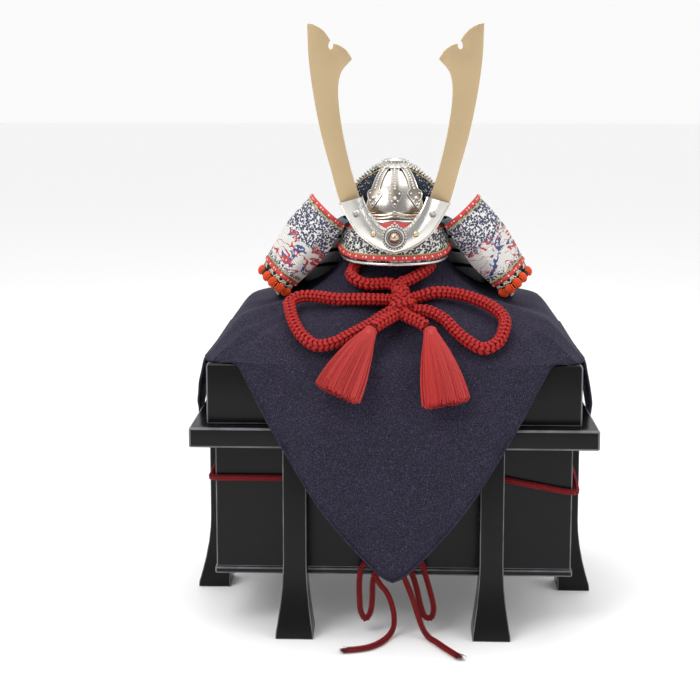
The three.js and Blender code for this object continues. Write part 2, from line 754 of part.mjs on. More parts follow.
// Cloth: how the height falls from the cap to the lid's edge, over the front and over the sides
const clothFall = [
  { run: 0, front: 1, side: 1 },
  { run: 0.1, front: 0.66, side: 0.66 },
  { run: 0.22, front: 0.49, side: 0.5 },
  { run: 0.4, front: 0.35, side: 0.37 },
  { run: 0.6, front: 0.23, side: 0.32 },
  { run: 0.78, front: 0.11, side: 0.29 },
  { run: 0.9, front: 0.04, side: 0.15 },
  { run: 1, front: 0, side: 0 },
];
// Soft folds that run outward from the stand: direction in degrees from the front.
const clothFolds = [
  { direction: 0, height: -2.5, width: 12 },
  { direction: 27, height: 5, width: 8 },
  { direction: -27, height: 5, width: 8 },
  { direction: 52, height: -2, width: 9 },
  { direction: -52, height: -2, width: 9 },
  { direction: 153, height: 5, width: 8 },
  { direction: -153, height: 5, width: 8 },
  { direction: 180, height: -2.5, width: 12 },
];

/** Lid's edge in a direction from the axis, with the cloth's clearance. */
function edgeDistance(direction) {
  const [s, c] = [Math.abs(Math.sin(direction)), Math.abs(Math.cos(direction))];
  return Math.min((lidHalf.x + clothClearance) / Math.max(s, 1e-6),
    (lidHalf.y + clothClearance) / Math.max(c, 1e-6));
}

/** Cloth that hangs over the edge in a direction; below zero it ends on the lid's top. */
function hangLength(direction) {
  const distance = edgeDistance(direction);
  const [x, y] = [Math.abs(Math.sin(direction)), Math.abs(Math.cos(direction))]
    .map((share) => share * distance);
  const flap = (drop, at, spread) => drop * (1 - (at / spread) ** 1.35);
  return Math.max(flap(clothDropFront, x, clothSpreadFront),
    flap(clothDropSide, y, clothSpreadSide));
}

function foldHeight(direction) {
  return clothFolds.reduce((sum, fold) => {
    const off = THREE.MathUtils.euclideanModulo(
      THREE.MathUtils.radToDeg(direction) - fold.direction + 180, 360) - 180;
    return sum + fold.height * Math.exp(-((off / fold.width) ** 2));
  }, 0);
}

const clothRows = { cap: capRows, slope: clothFall.length, hang: 4 };
const clothRowCount = clothRows.cap + clothRows.slope + clothRows.hang;

// Columns of a quarter of the cloth: over the front flap, round the lid's corner, over the side
const clothColumns = { front: 8, corner: 2, side: 4 };
const quarterColumns = clothColumns.front + clothColumns.corner + clothColumns.side;

/** Direction of a column, in radians from the front, even within each stretch of a quarter. */
function columnDirection(column) {
  const flapEnd = Math.atan2(clothSpreadFront, lidHalf.y + clothClearance);
  const sideStart = Math.atan2(lidHalf.x + clothClearance, clothSpreadSide);
  const quarter = (k) => {
    if (k <= clothColumns.front) return (flapEnd * k) / clothColumns.front;
    const past = k - clothColumns.front;
    if (past <= clothColumns.corner) {
      return flapEnd + ((sideStart - flapEnd) * past) / clothColumns.corner;
    }
    return sideStart +
      ((Math.PI / 2 - sideStart) * (past - clothColumns.corner)) / clothColumns.side;
  };
  const turn = column % (4 * quarterColumns);
  const within = turn % quarterColumns;
  const half = Math.floor(turn / quarterColumns);
  if (half === 0) return quarter(within);
  if (half === 1) return Math.PI - quarter(quarterColumns - within);
  if (half === 2) return Math.PI + quarter(within);
  return 2 * Math.PI - quarter(quarterColumns - within);
}
function clothSurface(lift) {
  return (u, v) => {
    const direction = columnDirection(Math.round(u * 4 * quarterColumns));
    const row = Math.round(v * clothRowCount);
    const [s, c] = [Math.sin(direction), -Math.cos(direction)];
    const place = (radius, z) => [radius * s, radius * c, z];
    if (row <= clothRows.cap) {
      const t = 1 - (1 - capShare) * (row / clothRows.cap);
      const [, y, z] = onBowl(0, t, capLift + seatGap + clothThickness * lift);
      if (row === 0) return [0, 0, z];
      return place(-y, z);
    }
    const distance = edgeDistance(direction);
    const hang = hangLength(direction);
    const reach = distance + Math.min(0, hang) * 0.35;
    const sideShare = Math.abs(s) ** 3;
    if (row <= clothRows.cap + clothRows.slope) {
      const { run } = clothFall[row - clothRows.cap - 1];
      const fall = lookUp(clothFall, run, 'front') * (1 - sideShare) +
        lookUp(clothFall, run, 'side') * sideShare;
      const start = capRadius;
      const radius = start + (reach - start) * run;
      const fold = Math.max(foldHeight(direction), -2) * Math.sin(Math.PI * run) * 1.2;
      const z = lidTop + seatGap + (clothLevel - lidTop) * fall + fold;
      return place(radius + lift * clothThickness * 0.6, z + lift * clothThickness);
    }
    const down = (row - clothRows.cap - clothRows.slope) / clothRows.hang;
    const drop = Math.max(hang, 0) * down;
    const railOver = railProud - lidPlay - lidWall;
    const over = railOver * Math.min(1, drop / (lidTop - railLevel - 2));
    const flare = 0.05 * Math.max(0, drop - 40) + Math.max(0, foldHeight(direction)) *
      Math.min(1, drop / 40);
    const face = Math.abs(s) * (lidHalf.y + clothClearance) >
      Math.abs(c) * (lidHalf.x + clothClearance) ? [Math.sign(s), 0] : [0, Math.sign(c)];
    const out = over + flare + lift * clothThickness + (hang > 0 ? 0.5 : 0);
    const z = lidTop + seatGap - drop + lift * clothThickness * (1 - down);
    return [reach * s + face[0] * out, reach * c + face[1] * out, z];
  };
}
add('drape_cloth', wall(4 * quarterColumns, clothRowCount, clothSurface(1), clothSurface(0),
  true), navyCrepe);

// Chin cord: each side runs from under the visor to the knot, out to a loop and back, and down
// to a tassel. The points lie on the cloth as chosen.
const chinCordRoutes = {
  chin_cord_left: [
    [-27.5, -32.5, 295.5], [-29.7, -35.6, 288.4], [-31, -38.1, 280.8], [-32.6, -41.8, 274],
    [-34.5, -48, 271], [-30.5, -56, 267.5], [-22, -59, 264.5], [-12, -58, 264.5], [-5.5, -57.5, 265],
  ],
  chin_cord_right: [
    [27.5, -32.5, 295.5], [29.5, -35.5, 288.5], [30.8, -38.2, 281], [31.5, -42.3, 274.7],
    [29.5, -48.5, 272.5], [23, -53.5, 270.5], [15.5, -55.5, 268.5], [11, -56, 267],
  ],
  chin_loop_left: [
    [-7.1, -66, 253.2], [-22.2, -69, 254], [-44.3, -69.5, 254], [-62.3, -62.5, 255],
    [-74, -61.5, 254.5], [-81.5, -66.5, 251], [-80.5, -77, 246], [-77.5, -87, 239.5],
    [-72.7, -96.4, 233], [-66, -103.5, 227.5], [-58.5, -106.8, 224], [-46.1, -105, 225.5],
    [-33.1, -98, 230.9], [-18.9, -88, 236.9], [-7.3, -78.4, 243],
  ],
  chin_loop_right: [
    [16.1, -65, 254.5], [30.6, -66, 259], [48.4, -62, 257.5], [64, -65, 253.5],
    [76.5, -73, 248.5], [84.5, -84, 241.5], [83.8, -93.5, 235.5], [78.2, -103.5, 226.5],
    [67.5, -107.7, 222.5], [56.4, -103.5, 227], [46, -95, 234.5], [39.6, -88.6, 240.7],
    [26.1, -80, 246.5], [16.3, -76, 246.5],
  ],
  chin_tail_left: [[-0.8, -86.9, 243.6], [-9, -94.6, 240], [-15.5, -100, 236.4]],
  chin_tail_right: [[10.4, -87.1, 243.3], [18.5, -92.8, 240.6], [25, -97.6, 237]],
};
for (const [name, points] of Object.entries(chinCordRoutes)) {
  add(name, tube(points, chinCordRadius, 1), redCord);
}

const knotGrooves = 4;

/** Knot: a rounded form whose windings show as grooves round its long axis. */
function knot({ width, length, depth }) {
  return blob(16, 8, (u, v) => {
    const [turn, along] = [u * 2 * Math.PI, v * Math.PI];
    const swell = Math.sin(along) ** 0.7 * (1 - 0.06 * (1 - Math.cos(turn * knotGrooves)));
    return [
      (width / 2) * swell * Math.cos(turn),
      (depth / 2) * swell * Math.sin(turn),
      (-length / 2) * Math.cos(along),
    ];
  });
}

const chinKnot = { width: 21, length: 35, depth: 13 };
const chinKnotPlace = { middle: [4.7, -72.6, 251.4], lean: 47 };
const chinKnotMesh = add('chin_knot', knot(chinKnot), redCord);
chinKnotMesh.position.set(...chinKnotPlace.middle);
chinKnotMesh.rotation.x = -rad(chinKnotPlace.lean);

// Tassel: locks bound at the neck and spread towards the lower end. Columns are shares of the
// length, the width and the depth.
const tasselSections = [
  { along: 0, width: 0.2, depth: 0.5 },
  { along: 0.06, width: 0.27, depth: 0.72 },
  { along: 0.13, width: 0.25, depth: 0.66 },
  { along: 0.2, width: 0.4, depth: 0.8 },
  { along: 0.5, width: 0.72, depth: 1 },
  { along: 0.8, width: 0.93, depth: 1 },
  { along: 1, width: 1, depth: 0.85 },
];
const tasselLocks = 10;
const tasselPlaces = [
  { name: 'tassel_left', neck: [-16.6, -101, 235.8], tip: [-46, -136.5] },
  { name: 'tassel_right', neck: [26.9, -99.2, 235.9], tip: [36, -137] },
];
for (const { name, neck, tip } of tasselPlaces) {
  const start = new THREE.Vector3(...neck);
  const across = Math.hypot(tip[0] - neck[0], tip[1] - neck[1]);
  const fall = Math.sqrt(Math.max(tasselLength ** 2 - across ** 2, 1));
  const end = new THREE.Vector3(tip[0], tip[1], neck[2] - fall);
  const bend = start.clone().lerp(end, 0.45).add(new THREE.Vector3(0, -3.5, 5));
  const axis = new THREE.QuadraticBezierCurve3(start, bend, end);
  const rows = tasselSections.length + 1;
  add(name, blob(tasselLocks * 2, rows, (u, v) => {
    const row = Math.round(v * rows);
    if (row === 0) return start.toArray();
    if (row === rows) return end.toArray();
    const section = tasselSections[row - 1];
    const along = axis.getTangent(section.along);
    const side = new THREE.Vector3(0, -1, 0.2).cross(along).normalize();
    const front = side.clone().cross(along).normalize();
    const turn = u * 2 * Math.PI;
    const lock = Math.round(u * tasselLocks * 2) % 2 === 0 ? 1 : 0.86;
    return axis.getPoint(section.along)
      .addScaledVector(side, (tasselWidth / 2) * section.width * lock * Math.cos(turn))
      .addScaledVector(front, (tasselDepth / 2) * section.depth * lock * Math.sin(turn))
      .toArray();
  }), redCord);
}

// Chest cord: once round the body through the legs' slots, from the knot and back to it.
const cordFromBody = chestCordRadius + 0.7;
const cordX = bodyHalf.x + cordFromBody;
const cordY = bodyHalf.y + cordFromBody;
const cordStep = 3 * 2 * chestCordRadius;
const slotEnd = frontLegSpacing / 2 + legWidth / 2;

/** Points from one place up to, but not at, the next, about one step apart. */
function spaced(from, to) {
  const [a, b] = [new THREE.Vector3(...from), new THREE.Vector3(...to)];
  const count = Math.max(1, Math.round(a.distanceTo(b) / cordStep));
  return Array.from({ length: count }, (_, k) => a.clone().lerp(b, k / count).toArray());
}

/** Bend round a corner of the body, from one side's direction to the next. */
function bend(signX, signY, level, reversed = false) {
  const points = [0, 30, 60, 90].map((angle) => [
    signX * (bodyHalf.x + cordFromBody * Math.sin(rad(angle))),
    signY * (bodyHalf.y + cordFromBody * Math.cos(rad(angle))),
    level,
  ]);
  return reversed ? points.reverse() : points;
}

const sag = 9;                  // of the band between the right front leg and the corner
const chestBand = [
  [-8.1, -108.7, 65.4], [-20, -107.5, 76], [-31, -106.5, 87], [-42, -106, 98], [-53, -105.4, 109],
  ...spaced([-frontLegSpacing / 2 + legWidth / 2 + 3, -cordY, cordSlotLevel],
    [-slotEnd - 2, -cordY, cordSlotLevel]),
  ...spaced([-slotEnd - 2, -cordY, cordSlotLevel], [-bodyHalf.x + 8, -cordY, cordSlotLevel]),
  ...bend(-1, -1, cordSlotLevel),
  ...spaced([-cordX, -bodyHalf.y + 8, cordSlotLevel], [-cordX, bodyHalf.y - 8, cordSlotLevel]),
  ...bend(-1, 1, cordSlotLevel, true),
  ...spaced([-bodyHalf.x + 8, cordY, cordSlotLevel], [bodyHalf.x - 8, cordY, cordSlotLevel]),
  ...bend(1, 1, cordSlotLevel),
  ...spaced([cordX, bodyHalf.y - 8, cordSlotLevel], [cordX, -bodyHalf.y + 40, cordSlotLevel]),
  [cordX, -bodyHalf.y + 22, cordSlotLevel - 0.4 * sag],
  ...bend(1, -1, cordSlotLevel - sag, true),
  ...spaced([bodyHalf.x - 8, -cordY, cordSlotLevel - 0.9 * sag],
    [slotEnd + 2, -cordY, cordSlotLevel]),
  ...spaced([slotEnd + 2, -cordY, cordSlotLevel],
    [frontLegSpacing / 2 - legWidth / 2 - 3, -cordY, cordSlotLevel]),
  [frontLegSpacing / 2 - legWidth / 2 - 3, -cordY, cordSlotLevel - 0.5],
  [53, -105.4, 109], [42, -106, 98], [31, -106.5, 87], [20, -107.5, 76], [8.1, -108.7, 65.4],
];
add('chest_cord_band', tube(chestBand, chestCordRadius, 1), darkRedCord);

const chestCordRoutes = {
  chest_loop_left: [
    [-8.2, -109, 60.9], [-17, -111, 59.5], [-23.5, -112, 53], [-25.6, -112, 43], [-25.6, -112, 28],
    [-24.4, -112, 16.5], [-20.9, -112, 11], [-17.2, -112, 16.5], [-15.8, -112, 28],
    [-15.2, -111, 42], [-11.5, -110, 51], [-5.6, -109.3, 54.6],
  ],
  chest_loop_right: [
    [8.2, -109, 60.9], [16, -111, 60.8], [22, -112, 56], [25.6, -112, 44.3], [29.6, -112, 30],
    [31.4, -112, 20], [29.6, -112, 12.5], [25.2, -112, 13], [21.4, -112, 22], [18, -112, 37],
    [13.5, -111, 49], [5.8, -109.4, 54.6],
  ],
  chest_tail_left: [
    [-2.2, -113.2, 57.6], [-8.5, -117, 54.5], [-13, -118.6, 48], [-9.5, -118.8, 41], [-4.8, -118.4, 35],
    [-0.5, -117.5, 24], [1.2, -117, 13], [0.3, -119, 6], [-3.2, -126, 2.8], [-9, -138, 2.6],
    [-17, -147, 2.6], [-25.7, -151.2, 2.6], [-34.2, -153.4, 2.6],
  ],
  chest_tail_right: [
    [3.2, -113.2, 57.6], [7, -118, 50.5], [11, -118.6, 41], [15.5, -118.8, 29], [20, -119.2, 15],
    [23.5, -121.5, 6.5], [27.5, -127, 2.8], [32, -134, 2.6], [38, -145, 2.6], [44.2, -155.4, 2.6],
    [48.2, -161.9, 2.6],
  ],
};
for (const [name, points] of Object.entries(chestCordRoutes)) {
  add(name, tube(points, chestCordRadius, 1), darkRedCord);
}

const chestKnot = { width: 15, length: 13, depth: 9 };
const chestKnotMiddle = [0, -109, 63];
add('chest_knot', knot(chestKnot), darkRedCord).position.set(...chestKnotMiddle);

export default object;
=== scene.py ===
"""Looks of a display kabuto: helmet, tasselled cord, draped cloth and lacquered chest.

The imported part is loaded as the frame. Each sub-assembly is a class that builds its meshes in
millimetres and dresses them with its own finishes. The front faces -Y and +Z is up.
"""

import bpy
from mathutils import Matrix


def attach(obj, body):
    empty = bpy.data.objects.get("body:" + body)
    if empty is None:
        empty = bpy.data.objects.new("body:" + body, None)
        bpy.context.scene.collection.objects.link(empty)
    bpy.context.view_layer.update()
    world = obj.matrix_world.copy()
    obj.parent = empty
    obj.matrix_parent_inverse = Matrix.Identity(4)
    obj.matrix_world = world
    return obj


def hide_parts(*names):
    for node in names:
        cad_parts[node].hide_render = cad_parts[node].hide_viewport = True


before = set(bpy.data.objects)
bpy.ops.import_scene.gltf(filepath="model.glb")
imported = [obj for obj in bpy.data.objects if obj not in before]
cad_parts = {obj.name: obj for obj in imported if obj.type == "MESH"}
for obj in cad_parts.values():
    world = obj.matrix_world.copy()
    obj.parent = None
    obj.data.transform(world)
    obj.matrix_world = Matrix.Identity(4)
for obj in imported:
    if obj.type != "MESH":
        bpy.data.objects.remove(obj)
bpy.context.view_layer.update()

import logging
import math
from contextlib import contextmanager
from dataclasses import dataclass, field
from enum import Enum
from typing import Callable, Iterator, Optional, Sequence, Union

import bmesh
import bpy
import numpy as np
from mathutils import Vector

LOG = logging.getLogger("kabuto")
MM = 0.001
Array = np.ndarray
Colour = tuple[float, float, float]
Material, Object, Socket = bpy.types.Material, bpy.types.Object, bpy.types.NodeSocket
UP = np.array((0.0, 0.0, 1.0))
CYCLE = 6.2832  # one turn, for sines in shaders


class Slot(Enum):
    """Material slots of the record."""

    CHEST = "chest_lacquer"
    BOWL = "bowl_lacquer"
    SILVER = "silver"
    GOLD = "horn_gold"
    LEATHER = "printed_leather"
    PIPING = "red_piping"
    LAME = "lame_lacquer"
    WOOD = "stand_wood"
    CREPE = "navy_crepe"
    BRAID = "red_braid"
    TASSEL = "red_tassel"
    DARK_BRAID = "dark_red_braid"


class Side(Enum):
    """Left and right as the photograph shows them."""

    LEFT = -1
    RIGHT = 1


# ---------------------------------------------------------------- shader maths


class Value:
    """A number socket of a shader tree that takes part in Python expressions."""

    def __init__(self, shader: "Shader", socket: Socket) -> None:
        """Keeps the tree and the socket."""
        self.shader = shader
        self.socket = socket

    def math(self, operation: str, *others: Union["Value", float]) -> "Value":
        """Adds a Math node.

        Args:
            operation: the node's operation.
            others: further operands, sockets or numbers.

        Returns:
            The node's result.
        """
        node = self.shader.tree.nodes.new("ShaderNodeMath")
        node.operation = operation
        for place, operand in enumerate((self, *others)):
            self.shader.feed(node.inputs[place], operand)
        return Value(self.shader, node.outputs[0])

    def __add__(self, other: Union["Value", float]) -> "Value":
        """Sum."""
        return self.math("ADD", other)

    __radd__ = __add__

    def __sub__(self, other: Union["Value", float]) -> "Value":
        """Difference."""
        return self.math("SUBTRACT", other)

    def __rsub__(self, other: float) -> "Value":
        """Difference, reflected."""
        return (self * -1) + other

    def __mul__(self, other: Union["Value", float]) -> "Value":
        """Product."""
        return self.math("MULTIPLY", other)

    __rmul__ = __mul__

    def __truediv__(self, other: Union["Value", float]) -> "Value":
        """Quotient."""
        return self.math("DIVIDE", other)

    def __abs__(self) -> "Value":
        """Magnitude."""
        return self.math("ABSOLUTE")

    def sine(self) -> "Value":
        """Sine, in radians."""
        return self.math("SINE")

    def fraction(self) -> "Value":
        """Fractional part."""
        return self.math("FRACT")

    def most(self, other: Union["Value", float]) -> "Value":
        """Larger of the two."""
        return self.math("MAXIMUM", other)

    def step(self, low: float, high: float) -> "Value":
        """Rises smoothly from 0 at low to 1 at high, or falls where low is the larger."""
        start, end = (1.0, 0.0) if low > high else (0.0, 1.0)
        node = self.shader.node("MapRange", {"interpolation_type": "SMOOTHSTEP"}, Value=self, From_Min=min(low, high),
                                From_Max=max(low, high), To_Min=start, To_Max=end)
        return Value(self.shader, node.outputs["Result"])

    def band(self, low: float, high: float, soft: float) -> "Value":
        """1 between low and high, 0 outside, with soft edges."""
        return self.step(low - soft, low + soft) * self.step(high + soft, high - soft)


class Shader:
    """One Principled material and the nodes that vary it."""

    def __init__(self, name: str, **constants: Union[float, Colour]) -> None:
        """Starts a material.

        Args:
            name: material's name.
            constants: values of Principled sockets, with underscores for spaces.
        """
        self.material = bpy.data.materials.new(name)
        self.material.use_nodes = True
        self.tree = self.material.node_tree
        self.surface = self.tree.nodes["Principled BSDF"]
        for key, value in constants.items():
            socket = self.surface.inputs[key.replace("_", " ")]
            socket.default_value = (*value, 1.0) if isinstance(value, tuple) else value

    def feed(self, socket: Socket, source: object) -> None:
        """Links or sets a socket."""
        if isinstance(source, Value):
            source = source.socket
        if isinstance(source, Socket):
            self.tree.links.new(source, socket)
        elif isinstance(source, tuple) and len(socket.default_value) == 4 and len(source) == 3:
            socket.default_value = (*source, 1.0)
        else:
            socket.default_value = source

    def node(self, kind: str, settings: Optional[dict] = None, **inputs: object) -> bpy.types.Node:
        """Adds any node.

        Args:
            kind: the node's type, without its ShaderNode prefix.
            settings: properties that are set before the inputs.
            inputs: socket names, with underscores for spaces, and what feeds them.

        Returns:
            The node.
        """
        node = self.tree.nodes.new("ShaderNode" + kind)
        for key, value in (settings or {}).items():
            setattr(node, key, value)
        for key, value in inputs.items():
            self.feed(node.inputs[key.replace("_", " ")], value)
        return node

    def mapped(self, where: Socket, scale: Sequence[float],
               shift: Sequence[float] = (0, 0, 0)) -> Socket:
        """Coordinates scaled, then shifted."""
        return self.node("Mapping", Vector=where, Scale=tuple(scale), Location=tuple(shift)).outputs[0]

    def place(self, scale: Sequence[float] = (1, 1, 1)) -> Socket:
        """Object coordinates in millimetres, scaled."""
        return self.mapped(self.node("TexCoord").outputs["Object"], [1000 * s for s in scale])

    def run(self) -> tuple[Value, Value, Socket]:
        """The piece's own UV map: its first coordinate, its second, and both as a vector."""
        uv = self.node("UVMap", {"uv_map": "run"}).outputs[0]
        split = self.node("SeparateXYZ", Vector=uv).outputs
        return Value(self, split[0]), Value(self, split[1]), uv

    def noise(self, where: Socket, scale: float, detail: float = 3, distortion: float = 0) -> Value:
        """Noise from 0 to 1."""
        node = self.node("TexNoise", Vector=where, Scale=scale, Detail=detail, Distortion=distortion)
        return Value(self, node.outputs[0])

    def cells(self, where: Socket, scale: float, feature: str = "F1", randomness: float = 1) -> Value:
        """Distance in a Voronoi pattern."""
        node = self.node("TexVoronoi", {"feature": feature}, Vector=where, Scale=scale, Randomness=randomness)
        return Value(self, node.outputs["Distance"])

    def vector(self, operation: str, *operands: object) -> Socket:
        """Adds a Vector Math node."""
        node = self.node("VectorMath", {"operation": operation})
        for socket, operand in zip(node.inputs, operands):
            self.feed(socket, operand)
        return node.outputs[0]

    def warp(self, where: Socket, scale: float, amount: float) -> Socket:
        """Shifts coordinates by noise."""
        swirl = self.node("TexNoise", Vector=where, Scale=scale, Detail=2.0).outputs[1]
        centred = self.vector("SUBTRACT", swirl, (0.5, 0.5, 0.5))
        return self.vector("ADD", where, self.vector("MULTIPLY", centred, (amount, amount, amount)))

    def mix(self, factor: Value, first: object, second: object) -> Socket:
        """Colour between two colours."""
        node = self.tree.nodes.new("ShaderNodeMix")
        node.data_type = "RGBA"
        self.feed(node.inputs[0], factor)
        self.feed(node.inputs[6], first)
        self.feed(node.inputs[7], second)
        return node.outputs[2]

    def colour(self, source: object) -> "Shader":
        """Sets Base Color."""
        self.feed(self.surface.inputs["Base Color"], source)
        return self

    def rough(self, source: Union[Value, float]) -> "Shader":
        """Sets Roughness."""
        self.feed(self.surface.inputs["Roughness"], source)
        return self

    def relief(self, height: Value, depth: float) -> Material:
        """Bumps the surface by a height from 0 to 1, worth a depth in millimetres, and ends the material."""
        bump = self.node("Bump", Height=height, Distance=depth * MM, Strength=1.0)
        self.feed(self.surface.inputs["Normal"], bump.outputs[0])
        return self.material


# ---------------------------------------------------------------- finishes


@dataclass(frozen=True)
class Lacquer:
    """Black lacquer with a faint ripple, dust and greyed edges: the grey on rounded edges is partly rubbed lacquer and
    partly a painted highlight.
    """

    name: str
    tone: Colour = (0.0045, 0.0045, 0.0045)
    # colour of the rounded edges: partly rubbed lacquer, partly a painted highlight
    edge: Colour = (0.17, 0.175, 0.19)
    roughness: float = 0.26
    ripple: float = 0.02

    def material(self) -> Material:
        """Builds the material."""
        shader = Shader(self.name, Specular_IOR_Level=0.17, IOR=1.5)
        where = shader.place()
        wear = Value(shader, shader.node("Attribute", {"attribute_name": "wear"}).outputs["Fac"])
        cloud = shader.noise(where, 0.02, 3)
        # painted highlight on the rounded edges, partly rubbed lacquer, broken up by noise; it also roughens them
        rubbing_and_highlight = wear * (shader.noise(where, 0.05, 3).step(0.25, 0.75) * 0.5 + 0.5)
        shader.colour(shader.mix(rubbing_and_highlight, shader.mix(cloud, self.tone, tuple(1.35 * c for c in self.tone)), self.edge))
        dust = shader.noise(where, 2.2, 2)
        shader.rough(dust * 0.05 + cloud * 0.05 + rubbing_and_highlight * 0.1 + (self.roughness - 0.05))
        return shader.relief(shader.noise(where, 0.12, 2) + dust * 0.06, self.ripple * 2)


@dataclass(frozen=True)
class Silver:
    """Silver plate: bright, with a faint cloud and a fine upright grain."""

    name: str
    tone: Colour = (0.66, 0.65, 0.62)
    shade: Colour = (0.30, 0.28, 0.25)
    roughness: float = 0.24

    def material(self) -> Material:
        """Builds the material."""
        shader = Shader(self.name, Metallic=1.0)
        where = shader.place()
        cloud = shader.noise(where, 0.09, 3)
        grain = shader.noise(shader.place((0.35, 0.35, 4.0)), 1.0, 4)
        shader.colour(shader.mix(cloud * 0.3, self.tone, self.shade))
        shader.rough(grain * 0.16 + cloud * 0.1 + (self.roughness - 0.1))
        return shader.relief(shader.noise(where, 0.14, 2).step(0.2, 0.8) + grain * 0.08, 0.05)


@dataclass(frozen=True)
class HornGilt:
    """Pale matt gold plate with a fine grain along the horn."""

    name: str
    tone: Colour = (0.665, 0.51, 0.305)
    shade: Colour = (0.54, 0.40, 0.235)

    def material(self) -> Material:
        """Builds the material."""
        shader = Shader(self.name, Metallic=0.82)
        grain = shader.noise(shader.place((2.4, 1, 0.12)), 1.1, 5)
        cloud = shader.noise(shader.place(), 0.03, 3)
        shader.colour(shader.mix(cloud * 0.7 + grain * 0.3, self.tone, self.shade))
        shader.rough(grain * 0.12 + cloud * 0.08 + 0.34)
        return shader.relief(grain, 0.03)


@dataclass(frozen=True)
class PrintedLeather:
    """White leather printed with navy dashes, faint lines, red flame licks and blue leaves.

    The UV map is in millimetres: the first coordinate runs across, the second down.
    """

    name: str
    flame_from: float
    flame_to: float
    ground: Colour = (0.72, 0.71, 0.67)
    navy: Colour = (0.012, 0.020, 0.085)
    red: Colour = (0.42, 0.022, 0.032)
    blue: Colour = (0.020, 0.045, 0.19)
    fine: float = 0.60

    def material(self) -> Material:
        """Builds the material."""
        shader = Shader(self.name, Specular_IOR_Level=0.3)
        _, down, where = shader.run()
        dots = shader.cells(shader.warp(where, 0.16, 2.2), self.fine, "F1", 0.8).step(0.65, 0.53)
        region = down.band(self.flame_from, self.flame_to, 2.5)
        edge = down + (shader.noise(where, 0.09, 1.0) - 0.5) * 14
        clear = edge.band(self.flame_from + 5, self.flame_to - 3, 1.2)
        tongue = shader.noise(shader.mapped(shader.warp(where, 0.09, 4.5), (0.032, 0.085, 1)), 1.0, 1.2, 0.3)
        flame = abs(tongue - 0.505).step(0.030, 0.022) * region * shader.noise(where, 0.05, 0.5).step(0.36, 0.40)
        frond = shader.mapped(shader.warp(where, 0.09, 3.0), (0.04, 0.075, 1), (3.7, 1.9, 0))
        leaf = abs(shader.noise(frond, 1.3, 1.2, 0.3) - 0.5).step(0.05, 0.038) * clear
        leaf = leaf * shader.noise(where, 0.06, 0.5).step(0.50, 0.53)
        wave = (down * 1.5 + (shader.noise(where, 0.12, 1.0) - 0.5) * 9) * (CYCLE / 2)
        ink = (dots * (1 - clear)).most(wave.sine().step(0.60, 0.92) * clear * 0.6) * (1 - flame)
        tint = shader.mix(ink, self.ground, self.navy)
        tint = shader.mix(leaf * (1 - flame), tint, self.blue)
        tint = shader.mix(flame, tint, self.red)
        age = shader.noise(shader.place(), 0.12, 3)
        shader.colour(shader.mix(age * 0.12, tint, (0.40, 0.36, 0.31)))
        grain = shader.cells(shader.place(), 2.6)
        shader.rough(grain * 0.12 + ink * -0.08 + 0.55)
        return shader.relief(grain * 0.5 + ink * 0.35, 0.05)


@dataclass(frozen=True)
class DottedBand:
    """Red leather edging with groups of white dots along the UV map's first axis."""

    name: str
    red: Colour = (0.60, 0.050, 0.045)
    dot: Colour = (0.80, 0.76, 0.70)
    spacing: float = 3.2

    def material(self) -> Material:
        """Builds the material."""
        shader = Shader(self.name, Specular_IOR_Level=0.35)
        along, around, where = shader.run()
        off = abs(((along / self.spacing).fraction() - 0.5) * self.spacing)
        high = abs(around - 0.25) * 9.0
        spot = (off * off + high * high).step(0.50, 0.28)
        group = (along / (self.spacing * 2.5)).fraction().step(0.42, 0.46)
        tint = shader.mix(shader.noise(where, 0.8, 3), self.red, tuple(0.7 * c for c in self.red))
        shader.colour(shader.mix(spot * (1 - group), tint, self.dot))
        shader.rough(shader.noise(where, 1.5, 2) * 0.2 + 0.5)
        return shader.relief(spot * 0.6 + (around * CYCLE).sine() * 0.05, 0.12)


@dataclass(frozen=True)
class Crepe:
    """Navy crepe: a crinkled weave with a fine pale speckle."""

    name: str
    dark: Colour = (0.0085, 0.007, 0.016)
    light: Colour = (0.070, 0.060, 0.108)

    def material(self) -> Material:
        """Builds the material."""
        shader = Shader(self.name, Sheen_Weight=0.05, Sheen_Roughness=0.4, Specular_IOR_Level=0.2,
                        Sheen_Tint=(0.5, 0.45, 0.7))
        where = shader.place()
        crinkle = shader.noise(shader.warp(where, 0.4, 1.2), 1.25, 3.5)
        speck = shader.cells(shader.place((1, 1, 0.8)), 1.4)
        cloud = shader.noise(where, 0.03, 3)
        lit = crinkle.step(0.47, 0.66) * 0.6 + speck.step(0.34, 0.14) * 0.4 + cloud * 0.08
        shader.colour(shader.mix(lit, self.dark, self.light))
        shader.rough(crinkle * 0.1 + 0.78)
        return shader.relief(crinkle + (1 - speck) * 0.35, 0.42)


@dataclass(frozen=True)
class SilkStrand:
    """Silk strand of a braid or lace: fine threads along it, with painted shade on one side of its section, the side
    that faces the core in a braid.

    The UV map runs along the strand in millimetres, then once around it.
    """

    name: str
    light: Colour
    dark: Colour
    threads: float = 7.0
    sheen: float = 0.25
    # strength of the painted shade on one side of the strand, 0 for none
    underside_shade: float = 0.0

    def material(self) -> Material:
        """Builds the material."""
        tint = tuple(min(1.0, 1.6 * c / max(self.light)) for c in self.light)
        shader = Shader(self.name, Sheen_Weight=self.sheen, Sheen_Roughness=0.3, Specular_IOR_Level=0.25,
                        Sheen_Tint=tint)
        along, around, _ = shader.run()
        threads = ((around * self.threads + along * 0.12) * CYCLE).sine() * 0.5 + 0.5
        fray = shader.noise(shader.place(), 1.6, 4)
        # painted shade: each strand darkens towards its dark colour on one side of its section, most at around = 0.75
        top = ((around * CYCLE).sine() * 0.5 + 0.5) * self.underside_shade + (1 - self.underside_shade)
        shader.colour(shader.mix((threads * 0.3 + fray * 0.5 + 0.15) * top, self.dark, self.light))
        shader.rough(fray * 0.14 + 0.46)
        return shader.relief(threads * 0.7 + fray * 0.4, 0.14)


